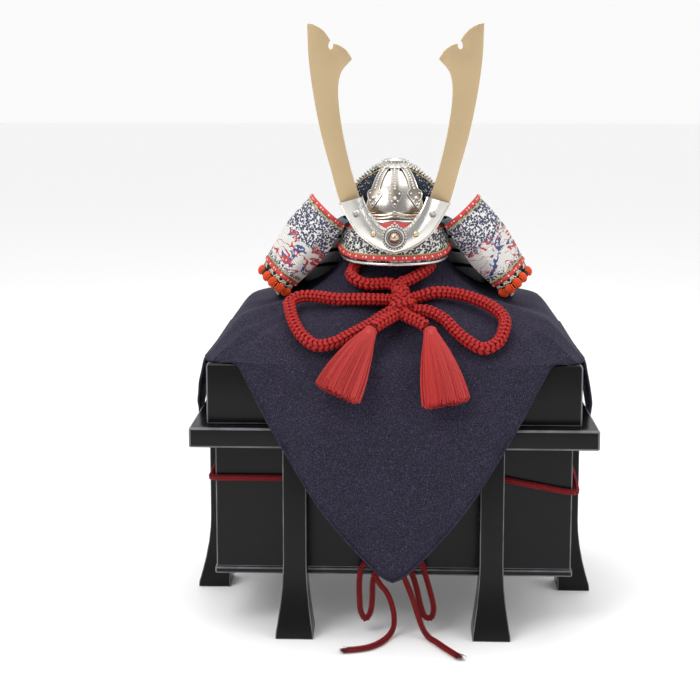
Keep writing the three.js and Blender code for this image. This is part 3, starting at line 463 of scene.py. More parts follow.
@dataclass(frozen=True)
class Enamel:
    """Small coloured piece, such as a petal, a stitch or a gilt knob."""

    name: str
    tone: Colour
    roughness: float = 0.4
    metal: float = 0.0

    def material(self) -> Material:
        """Builds the material."""
        shader = Shader(self.name, Metallic=self.metal)
        mottle = shader.noise(shader.place(), 0.9, 3)
        shader.colour(shader.mix(mottle * 0.6, self.tone, tuple(0.62 * c for c in self.tone)))
        shader.rough(mottle * 0.14 + (self.roughness - 0.06))
        return shader.relief(mottle, 0.03)


@dataclass(frozen=True)
class PlainWood:
    """Plain planed wood with its grain upright."""

    name: str
    light: Colour = (0.40, 0.28, 0.16)
    dark: Colour = (0.24, 0.15, 0.08)

    def material(self) -> Material:
        """Builds the material."""
        shader = Shader(self.name)
        rings = shader.noise(shader.warp(shader.place((1, 1, 0.08)), 0.1, 4), 0.35, 5)
        pores = shader.noise(shader.place((4, 4, 0.3)), 1.0, 2)
        shader.colour(shader.mix(rings.step(0.3, 0.7), self.light, self.dark))
        shader.rough(pores * 0.2 + 0.5)
        return shader.relief(pores, 0.05)


# ---------------------------------------------------------------- lines and forms


def smooth_route(points: Sequence[Sequence[float]], step: float) -> Array:
    """Centripetal spline through the points, at an even step.

    Args:
        points: points in millimetres.
        step: distance from one result to the next.

    Returns:
        Points on the spline, one a row.
    """
    p = np.asarray(points, float)
    p = np.vstack([2 * p[0] - p[1], p, 2 * p[-1] - p[-2]])
    t = np.linspace(0, 1, 24, endpoint=False)[:, None]
    parts = []
    for k in range(1, len(p) - 2):
        p0, p1, p2, p3 = p[k - 1 : k + 3]
        d0, d1, d2 = (max(np.linalg.norm(b - a) ** 0.5, 1e-6) for a, b in ((p0, p1), (p1, p2), (p2, p3)))
        m1 = d1 * ((p1 - p0) / d0 - (p2 - p0) / (d0 + d1) + (p2 - p1) / d1)
        m2 = d1 * ((p2 - p1) / d1 - (p3 - p1) / (d1 + d2) + (p3 - p2) / d2)
        parts.append((2 * p1 - 2 * p2 + m1 + m2) * t**3 + (-3 * p1 + 3 * p2 - 2 * m1 - m2) * t**2 + m1 * t + p1)
    line = np.vstack([*parts, p[-2][None]])
    along = run_length(line)
    at = np.linspace(0, along[-1], max(2, int(round(along[-1] / step))) + 1)
    return np.column_stack([np.interp(at, along, line[:, k]) for k in range(3)])


@contextmanager
def edited(mesh: bpy.types.Mesh, source: Optional[bpy.types.Mesh] = None) -> Iterator[bmesh.types.BMesh]:
    """Opens a mesh, or the source that it is made from, for editing and writes the result to the mesh."""
    work = bmesh.new()
    work.from_mesh(source or mesh)
    yield work
    work.to_mesh(mesh)
    work.free()


def run_length(line: Array) -> Array:
    """Distance of each point along a line from its start."""
    return np.concatenate([[0.0], np.cumsum(np.linalg.norm(np.diff(line, axis=0), axis=1))])


def circle(count: int) -> Array:
    """Cosine and sine of even angles, one a row."""
    turn = np.arange(count) * 2 * np.pi / count
    return np.stack([np.cos(turn), np.sin(turn)], -1)


def unit(vectors: Array) -> Array:
    """Vectors of length 1."""
    return vectors / np.maximum(np.linalg.norm(vectors, axis=-1, keepdims=True), 1e-12)


def carried_frames(line: Array) -> tuple[Array, Array]:
    """Two directions across a line at each of its points, that turn as little as they can.

    Args:
        line: points, one a row.

    Returns:
        First and second direction, one a row.
    """
    tangent = unit(np.gradient(line, axis=0))
    start = np.cross(tangent[0], (0.0, 0.0, 1.0))
    if np.linalg.norm(start) < 0.1:
        start = np.cross(tangent[0], (0.0, 1.0, 0.0))
    first = [start / np.linalg.norm(start)]
    for k in range(1, len(line)):
        across = first[-1] - tangent[k] * np.dot(first[-1], tangent[k])
        first.append(across / np.linalg.norm(across))
    first = np.array(first)
    return first, np.cross(tangent, first)


def soft_table(at: Array, knots: Sequence[float], values: Sequence[float]) -> Array:
    """Smooth monotone look-up through a table (Fritsch-Carlson)."""
    x, y = np.asarray(knots, float), np.asarray(values, float)
    h, d = np.diff(x), np.diff(y) / np.diff(x)
    m = np.zeros_like(x)
    m[0], m[-1] = d[0], d[-1]
    for k in range(1, len(x) - 1):
        if d[k - 1] * d[k] > 0:
            w1, w2 = 2 * h[k] + h[k - 1], h[k] + 2 * h[k - 1]
            m[k] = (w1 + w2) / (w1 / d[k - 1] + w2 / d[k])
    at = np.clip(at, x[0], x[-1])
    k = np.clip(np.searchsorted(x, at, side="right") - 1, 0, len(x) - 2)
    t = (at - x[k]) / h[k]
    return ((2 * t**3 - 3 * t**2 + 1) * y[k] + (t**3 - 2 * t**2 + t) * h[k] * m[k]
            + (-2 * t**3 + 3 * t**2) * y[k + 1] + (t**3 - t**2) * h[k] * m[k + 1])


class Form:
    """Grids of points that become one mesh. Lengths are in millimetres."""

    def __init__(self) -> None:
        """Starts empty."""
        self.points: list[Array] = []
        self.faces: list[list[int]] = []
        self.places: list[Array] = []
        self.count = 0

    def grid(self, points: Array, places: Array, wrap: bool = False, loop: bool = False, caps: bool = False) -> "Form":
        """Adds a grid.

        Args:
            points: rows by columns by 3.
            places: texture places, rows by columns by 2, one more column where it wraps and one
                more row where it loops.
            wrap: whether the last column joins the first.
            loop: whether the last row joins the first.
            caps: whether the first and last rows are closed with a flat face.

        Returns:
            This form.
        """
        rows, columns = points.shape[:2]
        index = self.count + np.arange(rows * columns).reshape(rows, columns)
        if wrap:
            index = np.hstack([index, index[:, :1]])
        if loop:
            index = np.vstack([index, index[:1]])
        quads = np.stack([index[:-1, :-1], index[:-1, 1:], index[1:, 1:], index[1:, :-1]], -1).reshape(-1, 4)
        corners = np.stack([places[:-1, :-1], places[:-1, 1:], places[1:, 1:], places[1:, :-1]], -2).reshape(-1, 4, 2)
        self.faces += quads.tolist()
        self.places.append(corners.reshape(-1, 2))
        if caps:
            for row, order in ((0, -1), (-1, 1)):
                self.faces.append(index[row, :columns][::order].tolist())
                self.places.append(places[row, :columns][::order])
        self.points.append(points.reshape(-1, 3))
        self.count += rows * columns
        return self

    def tube(self, line: Array, first: Array, second: Array, wide: Union[float, Array], thick: Union[float, Array],
             sides: int, shift: float = 0.0) -> "Form":
        """Adds a tube of elliptical section, closed at both ends.

        Args:
            line: centre of each section.
            first: direction of each section's width.
            second: direction of each section's thickness.
            wide: half width, one number or one for each section.
            thick: half thickness.
            sides: points round a section.
            shift: added to the texture place along the tube.

        Returns:
            This form.
        """
        turn = np.arange(sides) * 2 * np.pi / sides
        wide, thick = (np.broadcast_to(np.asarray(v, float), len(line))[:, None, None] for v in (wide, thick))
        points = (line[:, None] + first[:, None] * (wide * np.cos(turn)[None, :, None])
                  + second[:, None] * (thick * np.sin(turn)[None, :, None]))
        u = np.broadcast_to(run_length(line)[:, None] + shift, (len(line), sides + 1))
        v = np.broadcast_to(np.arange(sides + 1)[None] / sides, (len(line), sides + 1))
        return self.grid(points, np.stack([u, v], -1), wrap=True, caps=True)

    def object(self, name: str, material: Material, merge: bool = False) -> Object:
        """Makes the object, with its faces outwards and shaded smooth.

        Args:
            name: object's name.
            material: its only material.
            merge: whether points at one place are joined, as at a pole.

        Returns:
            The object, linked to the scene.
        """
        points = np.vstack(self.points) * MM
        quads = np.array([f for f in self.faces if len(f) == 4])
        a, b, c, d = (points[quads[:, k]] for k in range(4))
        volume = np.einsum("ij,ij->i", a, np.cross(b, c)).sum() + np.einsum("ij,ij->i", a, np.cross(c, d)).sum()
        faces, places = self.faces, np.vstack(self.places)
        if volume < 0:
            ends = np.cumsum([len(f) for f in faces])
            places = np.vstack([part[::-1] for part in np.split(places, ends[:-1])])
            faces = [f[::-1] for f in faces]
        mesh = bpy.data.meshes.new(name)
        mesh.from_pydata(points.tolist(), [], faces)
        mesh.uv_layers.new(name="run").data.foreach_set("uv", places.astype(np.float32).ravel())
        if merge:
            with edited(mesh) as work:
                bmesh.ops.remove_doubles(work, verts=work.verts, dist=2e-6)
                bmesh.ops.dissolve_degenerate(work, edges=work.edges, dist=1e-6)
        return link(name, mesh, material)


def shade(mesh: bpy.types.Mesh, angle: float) -> None:
    """Shades a mesh smooth, apart from edges that turn by more than an angle in degrees."""
    mesh.shade_smooth()
    mesh.set_sharp_from_angle(angle=math.radians(angle))


def link(name: str, mesh: bpy.types.Mesh, material: Material, smooth: bool = True) -> Object:
    """Puts a mesh in the scene as an object at the origin.

    Args:
        name: object's name.
        mesh: its mesh.
        material: its only material.
        smooth: whether its faces are shaded smooth, apart from sharp edges.

    Returns:
        The object.
    """
    mesh.name = name
    mesh.materials.clear()
    mesh.materials.append(material)
    if smooth:
        shade(mesh, 38)
    obj = bpy.data.objects.new(name, mesh)
    bpy.context.scene.collection.objects.link(obj)
    return obj


def settle(obj: Object, slot: Slot, *nodes: str) -> Object:
    """Makes a finished piece part of the object.

    Args:
        obj: the piece.
        slot: the record's material slot; not used.
        nodes: CAD nodes that it stands for.

    Returns:
        The piece.
    """
    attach(obj, "root")
    if nodes:
        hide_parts(*nodes)
    LOG.info("%s: %d faces, stands for %s", obj.name, len(obj.data.polygons), ", ".join(nodes) or "detail")
    return obj


def applied(obj: Object) -> Object:
    """Turns an object's modifiers into its mesh."""
    mesh = bpy.data.meshes.new_from_object(obj.evaluated_get(bpy.context.evaluated_depsgraph_get()))
    obj.modifiers.clear()
    obj.data = mesh
    return obj


def bevelled(obj: Object, width: float, segments: int, angle: float, rubbing_and_highlight_slot: int = -1) -> Object:
    """Rounds an object's edges.

    Args:
        obj: the object.
        width: of the rounding, in millimetres.
        segments: faces across it.
        angle: least angle of an edge that is rounded, in degrees.
        rubbing_and_highlight_slot: material place that marks the new faces, for a painted edge highlight that is partly
            rubbed lacquer.

    Returns:
        The object.
    """
    bevel = obj.modifiers.new("round", "BEVEL")
    bevel.width, bevel.segments, bevel.limit_method = width * MM, segments, "ANGLE"
    bevel.angle_limit, bevel.material = math.radians(angle), rubbing_and_highlight_slot
    return applied(obj)


def laid_tube(name: str, line: Array, size: tuple[float, float], sides: int, material: Material, slot: Slot,
              *nodes: str, across: Optional[tuple[Array, Array]] = None) -> Object:
    """Makes a tube along a line, as one settled piece.

    Args:
        name: piece's name.
        line: its centreline, in millimetres.
        size: half width and half thickness.
        sides: points round a section.
        material: its finish.
        slot: the record's material slot.
        nodes: CAD nodes that it stands for.
        across: directions of its width and thickness, carried along the line where left out.

    Returns:
        The piece.
    """
    first, second = across or carried_frames(line)
    return settle(Form().tube(line, first, second, *size, sides).object(name, material), slot, *nodes)


def twisted(surface: Callable[..., Array], ends: tuple[float, float], count: int, v: float, sway: float,
            lift: float, bow: float, turns: float) -> list[Array]:
    """Two strands twisted round each other along a line of a surface.

    Args:
        surface: gives points from u, v and a lift.
        ends: first and last u.
        count: points of a strand.
        v: the line.
        sway: how far a strand leaves it, in v.
        lift: height of the line over the surface.
        bow: how far a strand leaves that height.
        turns: radians of twist for each unit of u.

    Returns:
        Both strands.
    """
    u = np.linspace(*ends, count)
    return [surface(u, v + sway * np.sin(u * turns + phase), lift + bow * np.cos(u * turns + phase))
            for phase in (0, math.pi)]


def rounded_node(node: str, name: str, material: Material, radius: float, segments: int) -> Object:
    """Copies a CAD node with its edges rounded and marked for a painted highlight that is partly rubbed lacquer.

    Args:
        node: CAD node's name.
        name: new object's name.
        material: its material.
        radius: of the rounding, in millimetres.
        segments: faces across the rounding.

    Returns:
        The new object.
    """
    mesh = bpy.data.meshes.new(name)
    with edited(mesh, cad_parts[node].data) as work:
        bmesh.ops.remove_doubles(work, verts=work.verts, dist=1e-6)
        bmesh.ops.dissolve_limit(work, angle_limit=math.radians(0.5), verts=work.verts, edges=work.edges)
    obj = link(name, mesh, material, False)
    mesh.materials.append(material)
    bevelled(obj, radius, segments, 32, 1)
    # the rounded faces get the lacquer's painted edge highlight, partly rubbed lacquer
    faces = np.zeros(len(obj.data.polygons), np.int32)
    obj.data.polygons.foreach_get("material_index", faces)
    obj.data.attributes.new("wear", "FLOAT", "FACE").data.foreach_set("value", faces.astype(np.float32))
    obj.data.polygons.foreach_set("material_index", np.zeros_like(faces))
    obj.data.materials.pop(index=1)
    shade(obj.data, 34)
    return obj


def outward(obj: Object) -> Object:
    """Joins doubles and turns the faces of a closed piece outwards."""
    with edited(obj.data) as work:
        bmesh.ops.remove_doubles(work, verts=work.verts, dist=2e-6)
        bmesh.ops.recalc_face_normals(work, faces=work.faces)
    shade(obj.data, 42)
    return obj


def closed_plate(name: str, top: Array, under: Array, places: Array, material: Material, slot: Slot,
                 *nodes: str) -> Object:
    """Makes a plate between two grids of points, closed round its four edges, as one settled piece.

    Args:
        name: piece's name.
        top: rows by columns by 3.
        under: the same for the other side.
        places: texture places, rows by columns by 2.
        material: its finish.
        slot: the record's material slot.
        nodes: CAD nodes that it stands for.

    Returns:
        The piece.
    """
    form = Form().grid(np.concatenate([top, under[:, ::-1]], 1),
                       np.concatenate([places, places[:, ::-1], places[:, :1]], 1), wrap=True)
    for row, order in ((0, -1), (-1, 1)):
        form.grid(np.stack([top[row], under[row]])[::order], np.stack([places[row], places[row]]))
    return settle(outward(form.object(name, material, merge=True)), slot, *nodes)


def closed_round(points: Array, wide: float = 0.0, high: float = 0.0) -> Form:
    """Closes a grid of points both ways, with texture steps of a width and a height."""
    rows, columns = points.shape[:2]
    places = np.stack(np.meshgrid(np.arange(columns + 1) * wide, np.arange(rows + 1) * high), -1)
    return Form().grid(points, places, wrap=True, loop=True)


def smooth_loop(points: Sequence[tuple[float, float]], count: int) -> Array:
    """Smooth closed outline of so many points through corners of a plane."""
    p = np.asarray(points, float)
    n = len(p)
    t = np.linspace(0, n, count, endpoint=False)
    k = t.astype(int)
    f = (t - k)[:, None]
    a, b, c, d = (p[(k + s) % n] for s in (-1, 0, 1, 2))
    return 0.5 * (2 * b + (c - a) * f + (2 * a - 5 * b + 4 * c - d) * f**2 + (3 * b - a - 3 * c + d) * f**3)


def lathe(name: str, profile: Array, place: Sequence[float], material: Material, columns: int, *nodes: str,
          upright: bool = False) -> Object:
    """Turns a ring or disc of metal from a closed profile, as one settled piece.

    Args:
        name: piece's name.
        profile: radius and height, one a row, in order round the profile.
        place: where the axis foot lies.
        material: its finish.
        columns: faces round the axis.
        nodes: CAD nodes that it stands for.
        upright: whether the axis points up, not towards the front.

    Returns:
        The piece.
    """
    across = profile[:, None, :1] * circle(columns)
    x, y, height = across[..., 0], across[..., 1], np.broadcast_to(profile[:, 1:], across.shape[:2])
    points = np.stack([x, y, height] if upright else [x, -height, y], -1) + np.asarray(place, float)
    return settle(outward(closed_round(points, 0.5, 0.5).object(name, material, merge=True)), Slot.SILVER, *nodes)


# ---------------------------------------------------------------- geometry nodes


class Recipe:
    """A Geometry Nodes tree with named inputs, grown on a carrier mesh and made plain."""

    def __init__(self, name: str) -> None:
        """Starts a tree with one geometry input and one geometry output."""
        self.group = bpy.data.node_groups.new(name, "GeometryNodeTree")
        self.group.interface.new_socket("Geometry", in_out="INPUT", socket_type="NodeSocketGeometry")
        self.group.interface.new_socket("Geometry", in_out="OUTPUT", socket_type="NodeSocketGeometry")
        self.identifiers: dict[str, str] = {}
        self.source = self.group.nodes.new("NodeGroupInput")
        self.target = self.group.nodes.new("NodeGroupOutput")

    def input(self, name: str, kind: str, default: object = None) -> Socket:
        """Adds a named input and returns its socket inside the tree."""
        item = self.group.interface.new_socket(name, in_out="INPUT", socket_type="NodeSocket" + kind)
        if default is not None:
            item.default_value = default
        self.identifiers[name] = item.identifier
        return next(s for s in self.source.outputs if s.identifier == item.identifier)

    def node(self, kind: str, settings: Optional[dict] = None, **inputs: object) -> bpy.types.Node:
        """Adds a node.

        Args:
            kind: the node's full type.
            settings: properties that are set first.
            inputs: socket names, with underscores for spaces, and links or values.

        Returns:
            The node.
        """
        node = self.group.nodes.new(kind)
        for key, value in (settings or {}).items():
            setattr(node, key, value)
        for key, value in inputs.items():
            socket = next(s for s in node.inputs if s.name == key.replace("_", " ") and s.enabled)
            if isinstance(value, Socket):
                self.group.links.new(value, socket)
            else:
                socket.default_value = value
        return node

    def attribute(self, name: str, kind: str) -> Socket:
        """Reads a named attribute of the carrier."""
        node = self.node("GeometryNodeInputNamedAttribute", {"data_type": kind}, Name=name)
        return next(s for s in node.outputs if s.name == "Attribute" and s.enabled)

    def finish(self, geometry: Socket, material: Socket) -> "Recipe":
        """Ends the tree in Realize Instances and Set Material."""
        real = self.node("GeometryNodeRealizeInstances", Geometry=geometry)
        dressed = self.node("GeometryNodeSetMaterial", Geometry=real.outputs[0], Material=material)
        self.group.links.new(dressed.outputs[0], self.target.inputs[0])
        return self

    def grow(self, name: str, carrier: bpy.types.Mesh, material: Material,
             **values: float) -> Object:
        """Runs the tree on a carrier.

        Args:
            name: new object's name.
            carrier: mesh of points or edges.
            material: fed to the tree's Material input.
            values: other inputs, by name with underscores for spaces.

        Returns:
            A plain mesh object.
        """
        obj = bpy.data.objects.new(name, carrier)
        bpy.context.scene.collection.objects.link(obj)
        modifier = obj.modifiers.new("recipe", "NODES")
        modifier.node_group = self.group
        for key, value in (("Material", material), *values.items()):
            modifier[self.identifiers[key.replace("_", " ")]] = value
        mesh = applied(obj).data
        bpy.data.objects.remove(obj)
        return link(name, mesh, material)


def bead_recipe() -> Recipe:
    """Beads on a carrier's points, each turned to face along its "facing" and sized by "size"."""
    recipe = Recipe("beads")
    radius = recipe.input("Radius", "Float", 1.0 * MM)
    flatness = recipe.input("Flatness", "Float", 1.0)
    sides = recipe.input("Sides", "Int", 8)
    material = recipe.input("Material", "Material")
    bead = recipe.node("GeometryNodeMeshUVSphere", Segments=sides, Rings=5, Radius=radius)
    lengths = recipe.node("ShaderNodeCombineXYZ", X=1.0, Y=1.0, Z=flatness)
    pressed = recipe.node("GeometryNodeTransform", Geometry=bead.outputs[0], Scale=lengths.outputs[0])
    turn = recipe.node("FunctionNodeAlignRotationToVector", {"axis": "Z"},
                       Vector=recipe.attribute("facing", "FLOAT_VECTOR"))
    placed = recipe.node("GeometryNodeInstanceOnPoints", Points=recipe.source.outputs[0], Instance=pressed.outputs[0],
                         Rotation=turn.outputs[0], Scale=recipe.attribute("size", "FLOAT"))
    return recipe.finish(placed.outputs[0], material)


def thread_recipe() -> Recipe:
    """Round threads along a carrier's edges."""
    recipe = Recipe("threads")
    radius = recipe.input("Radius", "Float", 0.3 * MM)
    sides = recipe.input("Sides", "Int", 5)
    material = recipe.input("Material", "Material")
    line = recipe.node("GeometryNodeMeshToCurve", Mesh=recipe.source.outputs[0])
    section = recipe.node("GeometryNodeCurvePrimitiveCircle", Resolution=sides, Radius=radius)
    tube = recipe.node("GeometryNodeCurveToMesh", Curve=line.outputs[0], Profile_Curve=section.outputs[0],
                       Fill_Caps=True)
    return recipe.finish(tube.outputs[0], material)


@dataclass
class Workshop:
    """Recipes and finishes that several sub-assemblies share."""

    beads: Recipe = field(default_factory=bead_recipe)
    threads: Recipe = field(default_factory=thread_recipe)
    silver: Material = field(default_factory=Silver("silver_plate").material)
    oxidised: Material = field(default_factory=Silver(
        "silver_oxidised", (0.30, 0.27, 0.23), (0.12, 0.10, 0.08), 0.3).material)
    gilt: Material = field(default_factory=Enamel("gilt_knob", (0.70, 0.61, 0.42), 0.28, 1.0).material)
    band: Material = field(default_factory=DottedBand("dotted_band").material)
    stitch: Material = field(default_factory=SilkStrand(
        "stitch_cord", (0.62, 0.52, 0.22), (0.12, 0.20, 0.12), 1.0).material)

    def bead_row(self, name: str, slot: Slot, points: Sequence[Array], facing: Sequence[Array], radius: float,
                 flatness: float, sides: int = 8, size: Sequence[float] = (1.0,),
                 material: Optional[Material] = None) -> Object:
        """Places beads, as one settled piece.

        Args:
            name: piece's name.
            slot: the record's material slot.
            points: where the beads sit, in millimetres.
            facing: which way each bead faces, or one way for all.
            radius: of a bead of size 1, in millimetres.
            flatness: height of a bead against its width.
            sides: faces round a bead.
            size: factor of each bead, or one for all.
            material: finish, silver where left out.

        Returns:
            The piece.
        """
        points = np.array(points)
        mesh = bpy.data.meshes.new("carrier")
        mesh.from_pydata((points * MM).tolist(), [], [])
        for word, kind, values, shape in (("facing", "FLOAT_VECTOR", facing, points.shape),
                                          ("size", "FLOAT", size, len(points))):
            data = mesh.attributes.new(word, kind, "POINT").data
            data.foreach_set("vector" if word == "facing" else "value",
                             np.broadcast_to(np.asarray(values, np.float32), shape).ravel())
        return settle(self.beads.grow(name, mesh, material or self.silver, Radius=radius * MM, Flatness=flatness,
                                      Sides=sides), slot)

    def thread_run(self, name: str, slot: Slot, lines: Sequence[Array], radius: float, sides: int = 6,
                   material: Optional[Material] = None, nodes: Sequence[str] = ()) -> Object:
        """Runs threads along lines, as one settled piece.

        Args:
            name: piece's name.
            slot: the record's material slot.
            lines: points of each thread, in millimetres.
            radius: of a thread.
            sides: faces round a thread.
            material: finish, silver where left out.
            nodes: CAD nodes that the piece stands for.

        Returns:
            The piece.
        """
        mesh, edges, start = bpy.data.meshes.new("carrier"), [], 0
        for line in lines:
            edges += [(start + k, start + k + 1) for k in range(len(line) - 1)]
            start += len(line)
        mesh.from_pydata((np.vstack(lines) * MM).tolist(), edges, [])
        obj = self.threads.grow(name, mesh, material or self.silver, Radius=radius * MM, Sides=sides)
        return settle(obj, slot, *nodes)


# ---------------------------------------------------------------- cords


@dataclass
class BraidedCord:
    """Round silk braid: stitches in rows round a core, in pairs that lean together."""

    name: str
    points: Sequence[Sequence[float]]
    radius: float
    fineness: float = 0.85
    columns: int = 8
    pitch: float = 0.76
    lean: float = 0.54
    core: float = 0.66

    def line(self) -> Array:
        """Centreline in millimetres."""
        return smooth_route(self.points, self.fineness)

    def plait(self, form: "Form") -> "Form":
        """Adds the stitches and the core.

        Args:
            form: what they are added to.

        Returns:
            The form.
        """
        line, size = self.line(), self.radius
        first, second = carried_frames(line)
        length = run_length(line)
        pitch = self.pitch * size
        share = np.array((-1, -0.6, 0, 0.6, 1)) if self.columns == 8 else np.array((-1, 0, 1))
        bow = 1 - share**2
        s = np.clip((np.arange(int(length[-1] / pitch))[:, None] + 0.5 + 0.46 * share) * pitch, 0, length[-1])
        at, one, two = (np.stack([np.interp(s, length, v[:, k]) for k in range(3)], -1) for v in (line, first, second))
        for column in range(self.columns):
            turn = (column + 0.5 + self.lean * (1 if column % 2 else -1) * share[:, None]) * 2 * np.pi / self.columns
            outward = one * np.cos(turn) + two * np.sin(turn)
            centre = at + outward * size * (self.core + 0.14 * bow)[:, None]
            across = unit(np.cross(unit(np.gradient(centre, axis=1)), outward))
            for k in range(len(s)):
                form.tube(centre[k], across[k], outward[k], size * (0.12 + 0.19 * bow), size * (0.1 + 0.12 * bow),
                          8 if self.columns == 8 else 6, shift=1.7 * k + 31 * column)
        form.tube(line, first, second, self.core * size, self.core * size, 8)
        form.places[-3][:, 1] = 0.75  # the core takes the painted shade of a strand's underside
        return form

    def build(self, silk: Material, slot: Slot, *nodes: str) -> Object:
        """Builds the braid as one settled piece that stands for CAD nodes."""
        return settle(self.plait(Form()).object(self.name, silk), slot, *nodes)

    def declare(self, obj: Object, pieces: Sequence[Object] = ()) -> None:
        """Works out the start, length, width and path of this free cord and the pieces on it, but hands them to
        nothing.

        Args:
            obj: the built braid; not used.
            pieces: separate pieces on it.
        """
        line = self.line()
        path = line[np.unique(np.linspace(0, len(line) - 1, max(3, len(line) // 3)).round().astype(int))]
        (line[0] * MM).tolist()
        float(run_length(line)[-1] * MM)
        2 * self.radius * MM
        (path * MM).tolist()
        list(pieces)


@dataclass
class Tassel:
    """Combed silk threads bound at the neck and spread towards the hem."""

    name: str
    neck: tuple[float, float, float]
    tip: tuple[float, float, float]
    width: float = 38.0
    depth: float = 13.0
    threads: int = 520

    def axis(self, share: Array) -> tuple[Array, Array, Array]:
        """Points on the axis with two directions across it.

        Args:
            share: places from the neck (0) to the hem (1).

        Returns:
            Points, sideways directions, frontward directions.
        """
        start, end = np.array(self.neck), np.array(self.tip)
        bend = start + 0.45 * (end - start) + np.array((0.0, -3.5, 5.0))
        t = np.asarray(share)[:, None]
        point = (1 - t) ** 2 * start + 2 * t * (1 - t) * bend + t**2 * end
        tangent = unit(2 * (1 - t) * (bend - start) + 2 * t * (end - bend))
        side = unit(np.cross((0.0, -1.0, 0.2), tangent))
        return point, side, np.cross(side, tangent)

    def build(self, shop: Workshop, silk: Material) -> list[Object]:
        """Builds the threads and the bound neck.

        Args:
            shop: shared recipes.
            silk: finish.

        Returns:
            The threads, then the neck with the core.
        """
        rng = np.random.default_rng(len(self.name) * 7)
        share = np.linspace(0.05, 1, 7)
        point, side, front = self.axis(share)
        spread = soft_table(share, (0, 0.06, 0.13, 0.2, 0.5, 0.8, 1), (0.2, 0.25, 0.25, 0.38, 0.68, 0.9, 0.97))
        deep = soft_table(share, (0, 0.1, 0.2, 0.5, 0.8, 1), (0.55, 0.62, 0.75, 0.95, 0.95, 0.8))
        lines = []
        for _ in range(self.threads):
            turn, out = rng.uniform(0, 2 * np.pi), rng.uniform(0.55, 1) ** 0.5
            sway = rng.normal(0, 0.25, (1, 2)) * share[:, None]
            cut = 1 - abs(rng.normal(0, 0.12)) - 0.3 * out**6
            x = (np.cos(turn) * out * self.width / 2 * spread + sway[:, 0])[:, None]
            y = (np.sin(turn) * out * self.depth / 2 * deep + sway[:, 1])[:, None]
            path = point + side * x + front * y
            path[-1] = path[-2] + (path[-1] - path[-2]) * cut
            lines.append(path)
        hair = shop.thread_run(self.name + "_threads", Slot.TASSEL, lines, 0.34, 4, silk, [self.name])
        near, core = np.linspace(0.0, 0.16, 9), np.linspace(0.12, 0.88, 14)
        form = Form()
        knots = (0, 0.03, 0.09, 0.16)
        form.tube(*self.axis(near), 0.25 * self.width / 2 * soft_table(near, knots, (0.8, 1.1, 1.0, 1.12)),
                  0.66 * self.depth / 2 * soft_table(near, knots, (0.8, 1.1, 1.0, 1.1)), 20)
        form.tube(*self.axis(core), self.width / 2 * 0.93 * np.interp(core, share, spread),
                  self.depth / 2 * 0.86 * np.interp(core, share, deep), 24)
        return [hair, settle(form.object(self.name + "_heart", silk), Slot.TASSEL)]


